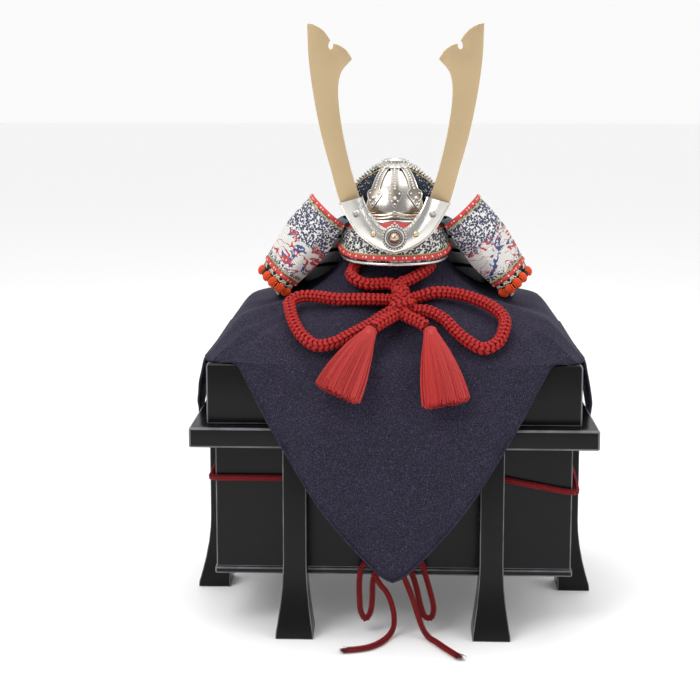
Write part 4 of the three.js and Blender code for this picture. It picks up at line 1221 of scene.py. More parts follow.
@dataclass
class ChinCord:
    """Red chin cord tied in a bow in front, with a tassel at each end.

    Each side runs down from the visor, through the knot, round its loop, through the knot again
    and along its tail.
    """

    radius: float = 5.0
    routes: dict[Side, list] = field(default_factory=lambda: {
        Side.LEFT: [
            (-27.5, -32.5, 295.5), (-29.7, -35.6, 288.4), (-31, -38.1, 280.8), (-32.6, -41.8, 274), (-34.5, -48, 271),
            (-30.5, -56, 267.5), (-22, -59, 264.5), (-12, -58, 264.5), (-5.5, -57.5, 265),
            (1.5, -61, 263), (4, -68, 257.5), (0, -68, 253.5),
            (-7.1, -66, 253.2), (-22.2, -69, 254), (-44.3, -69.5, 254), (-62.3, -62.5, 255), (-74, -61.5, 254.5),
            (-81.5, -66.5, 251), (-80.5, -77, 246), (-77.5, -87, 239.5), (-72.7, -96.4, 233), (-66, -103.5, 227.5),
            (-58.5, -106.8, 224), (-46.1, -105, 225.5), (-33.1, -98, 230.9), (-18.9, -88, 236.9), (-7.3, -78.4, 243),
            (1.5, -73, 247), (4.5, -78.5, 246.5), (2.5, -83.5, 245),
            (-0.8, -86.9, 243.6), (-9, -94.6, 240), (-15.5, -100, 236.4)],
        Side.RIGHT: [
            (27.5, -32.5, 295.5), (29.3, -35.7, 288.5), (29.4, -39, 281.2), (27.4, -43.7, 276.2), (23.6, -48.3, 273.4),
            (18.8, -52, 270.9), (14.4, -54.3, 268.8), (11, -56, 267),
            (5, -60, 265.5), (2.5, -68, 260), (5.5, -69, 254.5),
            (16.1, -65, 254.5), (30.6, -66, 259), (48.4, -62, 257.5), (64, -65, 253.5), (76.5, -73, 248.5),
            (84.5, -84, 241.5), (83.8, -93.5, 235.5), (78.2, -103.5, 226.5), (67.5, -107.7, 222.5),
            (56.4, -103.5, 227), (46, -95, 234.5), (39.6, -88.6, 240.7), (26.1, -80, 246.5), (16.3, -76, 246.5),
            (8.5, -73.5, 248), (6.5, -79, 247.5), (7.5, -83.5, 245),
            (10.4, -87.1, 243.3), (18.5, -92.8, 240.6), (25, -97.6, 237)]})
    tassels: dict[Side, Tassel] = field(default_factory=lambda: {
        Side.LEFT: Tassel("tassel_left", (-16.6, -101, 235.8), (-42.5, -137.5, 191.5)),
        Side.RIGHT: Tassel("tassel_right", (26.9, -99.2, 235.9), (39.5, -138, 184.5))})
    middle: tuple[float, float, float] = (4.7, -72.6, 251.4)
    # tilt from upright in degrees, half length, half depth, shift sideways, shift down
    turns: tuple = ((-24, 12.0, 5.2, -1.5, -1.0), (38, 9.5, 5.6, 3.0, -4.0), (-62, 8.5, 6.4, 0.5, 5.5))

    def knot(self, silk: Material) -> Object:
        """Builds the knot: turns of the braid over and round the crossing."""
        down = unit(np.array((0.0, -0.73, -0.68)))
        front = unit(np.array((0.0, -0.68, 0.73)))
        side = np.array((1.0, 0.0, 0.0))
        form = Form()
        for tilt, long, deep, aside, below in self.turns:
            lean = math.radians(tilt)
            axis = down * math.cos(lean) + side * math.sin(lean)
            turn = np.linspace(-0.62, 0.62, 15) * 2 * np.pi * 0.86
            centre = np.array(self.middle) + side * aside + down * below
            points = centre + np.outer(np.sin(turn), axis) * long + np.outer(np.cos(turn), front) * deep
            BraidedCord("turn", points.tolist(), 0.94 * self.radius).plait(form)
        return settle(form.object("bow_knot", silk), Slot.BRAID, "chin_knot")

    def build(self, shop: Workshop) -> None:
        silk = SilkStrand("red_braid_silk", (0.66, 0.028, 0.024), (0.09, 0.001, 0.002), underside_shade=0.8).material()
        combed = SilkStrand("red_tassel_silk", (0.70, 0.072, 0.064), (0.24, 0.008, 0.010), 2.0, underside_shade=0.4).material()
        pieces = [self.knot(silk)]
        for side in Side:
            word = side.name.lower()
            cord = BraidedCord(f"chin_braid_{word}", self.routes[side], self.radius)
            braid = cord.build(silk, Slot.BRAID, f"chin_cord_{word}", f"chin_loop_{word}", f"chin_tail_{word}")
            cord.declare(braid, self.tassels[side].build(shop, combed) + pieces)
            pieces = []


@dataclass
class ChestCord:
    """Dark red cord once round the chest through its legs' slots, tied in front."""

    radius: float = 2.5
    half: tuple[float, float] = (137.0, 101.5)
    off: float = 3.2
    level: float = 120.0
    sag: float = 9.0
    slot_end: float = 84.0

    def spaced(self, start: Sequence[float], end: Sequence[float]) -> list[tuple[float, ...]]:
        """Points from one place up to, but not at, the next, three diameters apart."""
        a, b = np.array(start, float), np.array(end, float)
        count = max(1, round(float(np.linalg.norm(b - a)) / (6 * self.radius)))
        return [tuple(a + (b - a) * k / count) for k in range(count)]

    def bend(self, x: int, y: int, level: float, back: bool = False) -> list[tuple[float, ...]]:
        """Points round a corner of the body."""
        points = [(x * (self.half[0] + self.off * math.sin(math.radians(a))),
                   y * (self.half[1] + self.off * math.cos(math.radians(a))), level) for a in (0, 30, 60, 90)]
        return points[::-1] if back else points

    def band(self) -> list[tuple[float, ...]]:
        """Route of the band, from the knot once round and back."""
        cx, cy, z = self.half[0] + self.off, self.half[1] + self.off, self.level
        hx, hy = self.half
        inner = 63.0
        return [
            (-8.1, -108.7, 65.4), (-20, -107.5, 76), (-31, -106.5, 87), (-42, -106, 98), (-53, -105.4, 109),
            *self.spaced((-inner, -cy, z), (-self.slot_end - 2, -cy, z)),
            *self.spaced((-self.slot_end - 2, -cy, z), (-hx + 8, -cy, z)), *self.bend(-1, -1, z),
            *self.spaced((-cx, -hy + 8, z), (-cx, hy - 8, z)), *self.bend(-1, 1, z, True),
            *self.spaced((-hx + 8, cy, z), (hx - 8, cy, z)), *self.bend(1, 1, z),
            *self.spaced((cx, hy - 8, z), (cx, -hy + 40, z)), (cx, -hy + 22, z - 0.4 * self.sag),
            *self.bend(1, -1, z - self.sag, True),
            *self.spaced((hx - 8, -cy, z - 0.9 * self.sag), (self.slot_end + 2, -cy, z)),
            *self.spaced((self.slot_end + 2, -cy, z), (inner, -cy, z)), (inner, -cy, z - 0.5),
            (53, -105.4, 109), (42, -106, 98), (31, -106.5, 87), (20, -107.5, 76), (8.1, -108.7, 65.4),
        ]

    def ends(self) -> dict[str, list[tuple[float, ...]]]:
        """Routes of the two loops and the two tails."""
        return {
            "chest_loop_left": [
                (-8.2, -109, 60.9), (-17, -111, 59.5), (-23.5, -112, 53), (-25.6, -112, 43), (-25.6, -112, 28),
                (-24.4, -112, 16.5), (-20.9, -112, 11), (-17.2, -112, 16.5), (-15.8, -112, 28),
                (-15.2, -111, 42), (-11.5, -110, 51), (-5.6, -109.3, 54.6)],
            "chest_loop_right": [
                (8.2, -109, 60.9), (16, -111, 60.8), (22, -112, 56), (25.6, -112, 44.3), (29.6, -112, 30),
                (31.4, -112, 20), (29.6, -112, 12.5), (25.2, -112, 13), (21.4, -112, 22), (18, -112, 37),
                (13.5, -111, 49), (5.8, -109.4, 54.6)],
            "chest_tail_left": [
                (-2.2, -113.2, 57.6), (-8.5, -117, 54.5), (-13, -118.6, 48), (-9.5, -118.8, 41),
                (-4.8, -118.4, 35), (-0.5, -117.5, 24), (1.2, -117, 13), (0.3, -119, 6), (-3.2, -126, 2.8),
                (-9, -138, 2.6), (-17, -147, 2.6), (-25.7, -151.2, 2.6), (-34.2, -153.4, 2.6)],
            "chest_tail_right": [
                (3.2, -113.2, 57.6), (7, -118, 50.5), (11, -118.6, 41), (15.5, -118.8, 29), (20, -119.2, 15),
                (23.5, -121.5, 6.5), (27.5, -127, 2.8), (32, -134, 2.6), (38, -145, 2.6), (44.2, -155.4, 2.6),
                (48.2, -161.9, 2.6)],
        }

    def knot(self, silk: Material) -> Object:
        """Builds the small knot: crossed turns of the cord, each of a tilt, a length, a depth and a drop."""
        form = Form()
        for tilt, long, deep, below in ((58, 6.2, 3.2, -0.5), (-58, 6.2, 3.6, 1.5), (88, 5.6, 4.4, 0.5)):
            lean = math.radians(tilt)
            axis = np.array((math.sin(lean), 0.0, -math.cos(lean)))
            turn = np.linspace(-0.55, 0.55, 13) * 2 * np.pi * 0.9
            points = (np.array((0.0, -109.0, 63.0 - below)) + np.outer(np.sin(turn), axis) * long
                      + np.outer(np.cos(turn), (0.0, -1.0, 0.0)) * deep)
            BraidedCord("turn", points.tolist(), 2.3, 0.6, 6).plait(form)
        return settle(form.object("chest_bow_knot", silk), Slot.DARK_BRAID, "chest_knot")

    def fray(self, tip: Array, rng: np.random.Generator) -> list[Array]:
        """Loose threads at the end of a tail, from the last points of its line."""
        way = unit(tip[-1] - tip[0])
        lines = []
        for _ in range(70):
            off = rng.normal(0, 0.95, 3) * (1, 1, 0.75)
            start = tip[2] + off * 0.9
            lines.append(np.array([start, start + way * 3 + off * 0.15,
                                   start + way * (5.5 + rng.uniform(-1, 1)) + off * 0.45]))
            lines[-1][:, 2] = np.maximum(lines[-1][:, 2], 0.5)
        return lines

    def build(self, shop: Workshop) -> None:
        silk = SilkStrand("dark_red_silk", (0.34, 0.010, 0.014), (0.05, 0.001, 0.002), underside_shade=0.7).material()
        frayed = SilkStrand("frayed_silk", (0.16, 0.012, 0.014), (0.05, 0.003, 0.004), 2.0).material()
        knot = self.knot(silk)
        band = BraidedCord("chest_braid_band", self.band(), self.radius, 0.9, 6)
        band.declare(band.build(silk, Slot.DARK_BRAID, "chest_cord_band"), [knot])
        rng = np.random.default_rng(31)
        for name, route in self.ends().items():
            cord = BraidedCord(name.replace("chest_", "chest_braid_"), route, self.radius, 0.6, 6)
            obj, brush = cord.build(silk, Slot.DARK_BRAID, name), []
            if "tail" in name:
                threads = self.fray(cord.line()[-8:], rng)
                brush = [shop.thread_run(name + "_fray", Slot.DARK_BRAID, threads, 0.22, 4, frayed)]
            cord.declare(obj, brush)


# ---------------------------------------------------------------- cloth


@dataclass
class DrapedCloth:
    """Square of navy crepe draped over the stand and the lid, a point to each side."""

    level: float = 318.0
    lid_top: float = 210.3
    cap_radius: float = 28.0
    thickness: float = 1.2
    crown: tuple[float, float, float] = (37.0, 38.8, 312.9)
    lid_half: tuple[float, float] = (142.7, 107.2)
    rail_over: float = 12.3
    clearance: float = 1.4
    drop: tuple[float, float] = (69.0, 163.0)
    spread: tuple[float, float] = (88.0, 118.0)
    columns: tuple[int, int, int] = (44, 10, 24)
    rows: tuple[int, int, int] = (8, 44, 34)
    runs: tuple = (0, 0.1, 0.22, 0.4, 0.6, 0.78, 0.9, 1)
    front_fall: tuple = (1, 0.66, 0.49, 0.35, 0.23, 0.11, 0.04, 0)
    side_fall: tuple = (1, 0.66, 0.5, 0.37, 0.32, 0.29, 0.15, 0)
    folds: tuple = ((0, -2.5, 12), (27, 5, 8), (-27, 5, 8), (52, -2, 9), (-52, -2, 9), (153, 5, 8), (-153, 5, 8),
                    (180, -2.5, 12))
    creases: tuple = ((108, 7, 26), (-108, 7, 26), (14, 1.6, 4), (-16, 1.5, 4), (38, 2.4, 4), (-41, 2.5, 4),
                      (60, 7, 4.5), (-62, 8, 4.5), (72, -3, 5), (-74, -3, 5), (84, -1.4, 6), (-88, -1.2, 6),
                      (110, 1.8, 7), (-114, 1.6, 7), (132, 1.5, 5), (-136, 1.5, 5), (167, 1.4, 5), (-171, 1.4, 5))

    def directions(self) -> Array:
        """Directions of the columns, in radians from the front."""
        flap_end = math.atan2(self.spread[1], self.lid_half[1] + self.clearance)
        side_start = math.atan2(self.lid_half[0] + self.clearance, self.spread[0])
        front, corner, side = self.columns
        quarter = np.concatenate([
            np.linspace(0, flap_end, front, endpoint=False),
            np.linspace(flap_end, side_start, corner, endpoint=False),
            np.linspace(side_start, np.pi / 2, side, endpoint=False)])
        back = np.concatenate([np.pi - quarter[1:][::-1], [np.pi]])
        half = np.concatenate([quarter, [np.pi / 2], back])
        return np.concatenate([half, 2 * np.pi - half[1:-1][::-1]])

    def ripple(self, direction: Array, table: Sequence[tuple]) -> Array:
        """Sum of soft folds in a direction."""
        total = np.zeros_like(direction)
        for middle, height, width in table:
            off = (np.degrees(direction) - middle + 180) % 360 - 180
            total += height * np.exp(-((off / width) ** 2))
        return total

    def dome(self, s: Array, c: Array) -> list[Array]:
        """Rows inside the bowl, from its crown down, for the sine and cosine of each column."""
        radius, rise, level = self.crown
        turns = (1 - 0.48 * np.linspace(0, 1, self.rows[0])) * np.pi / 2
        return [np.stack([radius * math.cos(t) * s, radius * math.cos(t) * c,
                          np.full_like(s, level + rise * math.sin(t))], -1) for t in turns]

    def surface(self) -> Array:
        """Points of the cloth's upper side, in rows: the dome, the slope to the lid's edge, the hanging part."""
        turn = self.directions()
        s, c = np.sin(turn), -np.cos(turn)
        x_edge, y_edge = (v + self.clearance for v in self.lid_half)
        edge = np.minimum(x_edge / np.maximum(abs(s), 1e-6), y_edge / np.maximum(abs(c), 1e-6))
        at_x, at_y = abs(s) * edge, abs(c) * edge
        hang = np.maximum(self.drop[1] * (1 - (at_x / self.spread[1]) ** 1.35),
                          self.drop[0] * (1 - (at_y / self.spread[0]) ** 1.35))
        reach = edge + np.minimum(0, hang) * 0.35
        fold, crease = self.ripple(turn, self.folds), self.ripple(turn, self.creases)
        grid = self.dome(s, c)
        side_share = abs(s) ** 3
        lid, wall = self.lid_top + 0.3, self.thickness
        for run in np.arange(1, self.rows[1] + 1) / self.rows[1]:
            front, side = (soft_table(run, self.runs, fall) for fall in (self.front_fall, self.side_fall))
            lift = (np.maximum(fold, -2) * 1.2 + crease * run) * math.sin(math.pi * run)
            z = lid + (self.level - self.lid_top) * (front * (1 - side_share) + side * side_share) + lift + wall
            out = self.cap_radius + (reach - self.cap_radius) * run + 0.6 * wall
            grid.append(np.stack([out * s, out * c, z], -1))
        sideways = abs(s) * y_edge > abs(c) * x_edge
        face = np.stack([np.where(sideways, np.sign(s), 0), np.where(sideways, 0, np.sign(c))], -1)
        ripple = 0.9 * np.sin(at_x / 7.5 + 1.3 * np.sin(at_x / 19)) + 2.6 / (1 + np.exp((at_x - 78) / 1.3))
        ripple = np.maximum(0, np.where(sideways, 0, ripple)) + 0.6 * np.maximum(crease, 0)
        for down in np.arange(1, self.rows[2] + 1) / self.rows[2]:
            drop = np.maximum(hang, 0) * down
            over = self.rail_over * soft_table(drop, (0, 12, 30, 47, 170), (0, 0.22, 0.7, 1, 1))
            flare = (0.05 * np.maximum(0, drop - 40) + np.maximum(0, fold) * np.minimum(1, drop / 40)
                     + ripple * np.minimum(1, drop / 60))
            out = over + flare + wall + np.where(hang > 0, 0.5, 0) + 0.6 * wall * (1 - down)
            grid.append(np.stack([reach * s + face[:, 0] * out, reach * c + face[:, 1] * out,
                                  lid - drop + wall * (1 - down)], -1))
        return np.array(grid)

    def build(self) -> None:
        points = self.surface()
        places = points[..., :2]
        crepe = Crepe("navy_crepe_weave").material()
        obj = Form().grid(points, np.concatenate([places, places[:, :1]], 1), wrap=True).object(
            "crepe_cloth", crepe, merge=True)
        with edited(obj.data) as work:
            bmesh.ops.recalc_face_normals(work, faces=work.faces)
            if max(work.faces, key=lambda f: f.calc_center_median().z).normal.z < 0:
                bmesh.ops.reverse_faces(work, faces=work.faces)
        wall = obj.modifiers.new("wall", "SOLIDIFY")
        wall.thickness, wall.offset = self.thickness * MM, -1
        applied(obj).data.shade_smooth()
        settle(obj, Slot.CREPE, "drape_cloth")
        line = smooth_route(np.vstack([points[-1], points[-1][:1]])[::3], 2.0)
        hem = laid_tube("crepe_hem", line, (0.95, 0.95), 8, crepe, Slot.CREPE)


# ---------------------------------------------------------------- chest


@dataclass
class Chest:
    """Lacquered chest: body with a base moulding, rail, lid and six flared legs."""

    legs: tuple[str, ...] = ("leg_front_left", "leg_front_right", "leg_side_left", "leg_side_right",
                             "leg_back_left", "leg_back_right")
    rounding: dict[str, float] = field(default_factory=lambda: {
        "chest_base": 1.2, "chest_body": 0.9, "chest_rail": 1.6, "chest_lid": 1.1})
    leg_rounding: float = 1.5

    def build(self) -> None:
        """Rounds and dresses each part of the chest."""
        lacquer = Lacquer("chest_lacquer_satin").material()
        for node, radius in self.rounding.items():
            settle(rounded_node(node, node.replace("chest_", "lacquered_"), lacquer, radius, 4), Slot.CHEST, node)
        for node in self.legs:
            settle(rounded_node(node, "lacquered_" + node, lacquer, self.leg_rounding, 3), Slot.CHEST, node)


@dataclass
class Stand:
    """Plain wooden stand under the cloth."""

    nodes: tuple[str, str] = ("stand_cap", "stand_post")

    def build(self) -> None:
        """Gives both CAD nodes their wood."""
        wood = PlainWood("plain_wood").material()
        for node in self.nodes:
            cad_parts[node].data.materials.clear()
            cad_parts[node].data.materials.append(wood)


# ---------------------------------------------------------------- helmet


@dataclass
class Bowl:
    """Bowl of black lacquered plates with ridges, rivets, a silver front and a crown ring."""

    radius: float = 38.5
    rise: float = 40.0
    wall: float = 1.5
    level: float = 314.0
    hole: float = 5.0
    ridges: int = 28
    ridge_lift: float = 0.9
    gap: float = 0.3
    trim: float = 1.0
    rosette_radius: float = 18.0
    petals: int = 20
    ring_radius: float = 9.5
    ring_height: float = 2.0
    plate_outline: tuple = ((0.06, 0.2, 0.38, 0.55, 0.7), (37, 36, 31, 28, 30))
    arrow_outline: tuple = ((0, 0.06, 0.14, 0.3, 0.36, 0.4, 1), (0.3, 1.6, 3.4, 6.2, 5.6, 3.6, 3.3))
    arrow_run: tuple[float, float] = (0.12, 0.72)
    rivets_up: int = 8
    clear_front: float = 40.0
    thread_lean: float = 24.0
    fringe_leans: tuple[float, ...] = (20.5, 16, 11)
    glints: int = 110

    @property
    def crown_share(self) -> float:
        """Where the crown hole's edge lies along a meridian."""
        return 1 - (2 / math.pi) * math.asin(self.hole / self.radius)

    def at(self, azimuth: Array, t: Array, lift: Union[float, Array] = 0.0) -> Array:
        """Points on the bowl; azimuth 0 is the front, t runs from the rim (0) to the crown (1)."""
        turn = np.asarray(t) * np.pi / 2
        out = (self.radius + lift) * np.cos(turn)
        return np.stack(np.broadcast_arrays(out * np.sin(azimuth), -out * np.cos(azimuth),
                                            self.level + (self.rise + lift) * np.sin(turn)), -1)

    def normal(self, azimuth: Array, t: Array) -> Array:
        """Outward directions."""
        return unit(self.at(azimuth, t, 1.0) - self.at(azimuth, t, 0.0))

    def shell(self, material: Material) -> None:
        """Bowl's plates with a standing ridge between each two."""
        columns = self.ridges * 8
        azimuth = np.arange(columns) * 2 * np.pi / columns
        phase = np.arange(columns) % 8
        lift = self.ridge_lift * np.select([phase == 0, (phase == 1) | (phase == 7)], [1, 0.75], 0.0)
        up = np.linspace(0, self.crown_share, 24)
        points = np.array([self.at(azimuth, t, lift) for t in up] + [self.at(azimuth, t, -self.wall) for t in up[::-1]])
        settle(closed_round(points, 2 * np.pi * self.radius / columns, 2.5).object("ridged_bowl", material),
               Slot.BOWL, "bowl")

    def plate(self, name: str, node: str, half: Callable[[Array], Array], run: tuple[float, float], base: float,
              thickness: float, middle: float, crown: float, material: Material,
              size: tuple[int, int]) -> None:
        """Plate that lies on the bowl.

        Args:
            name: piece's name.
            node: CAD node that it stands for.
            half: half width in millimetres at shares of the run.
            run: where it starts and ends along the meridian.
            base: lift of its underside.
            thickness: of the plate at its edges.
            middle: azimuth of its middle line, in radians.
            crown: extra lift of the middle line.
            material: its finish.
            size: rows and columns.
        """
        v, side = np.linspace(0, 1, size[0])[:, None], np.linspace(-1, 1, size[1])
        t = run[0] + v * (run[1] - run[0])
        aside = half(v[:, 0])[:, None] * side
        azimuth = middle + aside / (self.radius * np.cos(t * np.pi / 2))
        edge = np.minimum(1, np.minimum(1 - abs(side), 2.0 * np.minimum(v, 1 - v)) / 0.08)
        rounding = np.sqrt(np.maximum(0, 1 - (1 - edge) ** 2))
        top = self.at(azimuth, t, base + thickness * (0.35 + 0.65 * rounding) + crown * (1 - side**2))
        places = np.stack(np.broadcast_arrays(aside, t * 60), -1)
        closed_plate(name, top, self.at(azimuth, t, base), places, material, Slot.SILVER, node)

    def build(self, shop: Workshop) -> None:
        """Builds the bowl and everything on it."""
        self.shell(Lacquer("bowl_lacquer_gloss", (0.006, 0.007, 0.010), (0.16, 0.17, 0.20), 0.2).material())
        low, high = run = (0.06, 0.7)
        share = lambda v: low + v * (high - low)
        half = lambda v: (np.radians(soft_table(share(v), *self.plate_outline)) * self.radius
                          * np.cos(share(v) * np.pi / 2))
        plain = Silver("front_plate_silver", (0.60, 0.585, 0.55), (0.36, 0.28, 0.22), 0.2).material()
        base = self.ridge_lift + self.gap
        self.plate("silver_front_plate", "front_plate", half, run, base, self.trim, 0.0, 0.0, plain, (44, 60))
        base += self.trim + self.gap
        for word, degrees in (("left", -26), ("centre", 0), ("right", 26)):
            self.plate(f"beaded_arrow_{word}", f"ridge_arrow_{word}", lambda v: soft_table(v, *self.arrow_outline),
                       self.arrow_run, base, 0.7, math.radians(degrees), 0.25, shop.oxidised, (54, 17))
            self.arrow_beads(word, math.radians(degrees), base, shop)
        self.crown(shop)
        self.rivets(shop)
        self.fringe(shop)
        self.moulding(shop)

    def arrow_beads(self, word: str, middle: float, base: float, shop: Workshop) -> None:
        """Beads down the middle of an arrow ridge, a knob on its head and a bar along each edge."""
        def spot(share: Array, aside: Array) -> tuple[Array, Array]:
            """Azimuth and t at shares of the ridge, so many millimetres aside from its middle."""
            t = self.arrow_run[0] + share * (self.arrow_run[1] - self.arrow_run[0])
            return middle + aside / (self.radius * np.cos(t * np.pi / 2)), t

        rows = [(share, 0, 1.0, 2.0 if share == 0.2 else 1.25) for share in (0.08, 0.2, *np.linspace(0.41, 0.97, 10))]
        rows += [(share, aside, 0.9, 1.1) for share, aside in ((0.3, 3.4), (0.3, -3.4), (0.15, 2.0), (0.15, -2.0))]
        share, aside, lift, size = np.array(rows).T
        azimuth, t = spot(share, aside)
        shop.bead_row(f"arrow_beads_{word}", Slot.SILVER, self.at(azimuth, t, base + lift), self.normal(azimuth, t),
                      0.95, 0.85, 10, size)
        share = np.linspace(0.01, 0.99, 43)
        width = np.maximum(0.0, soft_table(share, *self.arrow_outline) - 0.5)
        bars = [self.at(*spot(share, side * width), base + 0.75) for side in (-1, 1)]
        shop.thread_run(f"arrow_bars_{word}", Slot.SILVER, bars, 0.5, 8)

    def crown(self, shop: Workshop) -> None:
        """Petalled rosette and the ring over it."""
        lift = self.ridge_lift + self.gap + self.trim + 0.9
        start = (2 / math.pi) * math.acos(min(1, self.rosette_radius / (self.radius + 1.2)))
        columns = self.petals * 12
        azimuth = np.arange(columns) * 2 * np.pi / columns
        petal = abs(np.sin(azimuth * self.petals / 2))
        outer_t = 1 - (1 - start) * (1 - 0.06 * (1 - petal) ** 1.5)
        v = np.linspace(0, 1, 9)[:, None]
        t = outer_t + v * (self.crown_share - outer_t)
        top = self.at(azimuth, t, lift + self.trim + 0.3 * petal * np.sin(np.pi * np.clip(v * 1.1, 0, 1)))
        points = np.concatenate([top, self.at(azimuth, t, lift)[::-1]])
        settle(closed_round(points).object("petal_rosette", shop.silver), Slot.SILVER, "crown_rosette")
        foot = self.level + self.rise * math.sin(self.crown_share * math.pi / 2) + lift + self.trim + 0.1
        profile = smooth_loop([(0.62, 0), (1, 0), (1.03, 0.3), (0.93, 0.8), (0.78, 1), (0.66, 0.82), (0.62, 0.4)], 40)
        lathe("crown_ring_silver", profile * (self.ring_radius, self.ring_height), (0, 0, foot), shop.silver, 64,
              "crown_ring", upright=True)
        beads = np.column_stack([circle(36) * self.ring_radius * 1.12, np.full(36, foot + 0.35)])
        shop.bead_row("crown_beads", Slot.SILVER, beads, UP, 0.72, 0.9)

    def arch(self, swing: float, lean: float, lift: float) -> Array:
        """Point of an arch from side to side over the brow, in a plane that leans forward from the upright.

        Args:
            swing: angle from the top of the arch, in radians.
            lean: forward lean of the plane, in degrees.
            lift: height over the bowl.

        Returns:
            The point.
        """
        ahead, up = (wave(math.radians(lean)) * math.cos(swing) for wave in (math.sin, math.cos))
        azimuth, t = math.atan2(math.sin(swing), ahead), math.asin(up) * 2 / math.pi
        over = 1.7 * min(1.0, max(0.0, (t - 0.6) / 0.12))
        return self.at(azimuth, min(t, self.crown_share), lift + over)

    def moulding(self, shop: Workshop) -> None:
        """Gilt ogee moulding under the front plate, with a sill and a small ring."""
        gilt = Silver("brow_gilt", (0.80, 0.71, 0.54), (0.50, 0.38, 0.24), 0.25).material()
        azimuth = np.radians(np.linspace(-66, 66, 140))
        reach = self.radius + self.ridge_lift + self.gap + self.trim + 0.35
        level = self.level + 2.0 + 1.7 * np.exp(-(azimuth / 0.15) ** 2) - 1.5 * (azimuth / 1.1) ** 2
        around = np.stack([np.sin(azimuth), -np.cos(azimuth), 0 * azimuth], -1)
        line = around * reach + level[:, None] * UP
        across = (np.broadcast_to(UP, line.shape), around)
        laid_tube("brow_moulding", line, (1.7, 0.8), 14, gilt, Slot.SILVER, across=across)
        laid_tube("brow_sill", line - 2.1 * UP + around * 0.2, (1.3, 0.9), 12, shop.silver, Slot.SILVER, across=across)
        profile = smooth_loop([(0.5, 0), (1, 0), (1.04, 0.4), (0.9, 0.9), (0.72, 1), (0.56, 0.85), (0.48, 0.4)], 24)
        lathe("brow_ring", profile * (1.9, 1.1), (0, -reach - 0.5, self.level + 4.6), shop.silver, 28)

    def rivets(self, shop: Workshop) -> None:
        """Rows of rivets between the ridges, apart from the front."""
        middles = (np.arange(self.ridges) + 0.5) * 360 / self.ridges
        middles = np.radians(middles[abs((middles + 180) % 360 - 180) >= self.clear_front])
        azimuth, t = np.repeat(middles, self.rivets_up), np.tile(np.linspace(0.07, 0.66, self.rivets_up), len(middles))
        shop.bead_row("bowl_rivets", Slot.SILVER, self.at(azimuth, t, 0.15), self.normal(azimuth, t), 0.85, 1.0,
                      size=np.tile(1.15 - 0.06 * np.arange(self.rivets_up), len(middles)))

    def fringe(self, shop: Workshop) -> None:
        """Silver fringe over the brow with its gold thread, and the lacing with its glints beside it."""
        rng = np.random.default_rng(5)
        fringe, out, girth = [], [], []
        swings = np.arange(-80, 80.1, 3.8)
        for row, lean in enumerate(self.fringe_leans, 1):
            for swing in np.radians(swings + 1.9 * (row % 2)):
                fringe.append(self.arch(swing, lean, 1.8 + 0.3 * row + 0.5 * rng.random()))
                out.append(unit(self.arch(swing, lean, 3.0) - self.arch(swing, lean, 2.0)))
                girth.append(rng.uniform(0.7, 1.2))
        shop.bead_row("silver_fringe", Slot.SILVER, fringe, out, 1.05, 1.2, size=girth)
        gold = Enamel("gold_thread_metal", (0.62, 0.47, 0.20), 0.3, 0.7).material()
        thread = np.array([self.arch(swing, self.thread_lean, 2.0) for swing in np.radians(swings)])
        shop.thread_run("gold_thread", Slot.SILVER, [thread], 0.5, 8, gold)
        navy = SilkStrand("navy_lacing", (0.050, 0.072, 0.12), (0.002, 0.003, 0.006), 3.0, underside_shade=0.6).material()
        t = np.linspace(0.05, 0.66, 16)
        strings = [self.at(side * (azimuth + 0.03 * np.sin(9 * t)), t, 1.25 + 0.5 * np.sin(40 * t + 90 * azimuth))
                   for side in (-1, 1) for azimuth in np.radians(np.arange(40, 88, 1.9))]
        shop.thread_run("brow_lacing", Slot.BOWL, strings, 0.5, material=navy)
        places = [(side * rng.uniform(0.72, 1.5), rng.uniform(0.06, 0.64)) for side in (-1, 1)
                  for _ in range(self.glints)]
        azimuth, t = np.array(places).T
        shop.bead_row("lacing_glints", Slot.SILVER, self.at(azimuth, t, 1.75), self.normal(azimuth, t), 0.5, 0.7, 6,
                      rng.uniform(0.6, 1.2, len(places)))


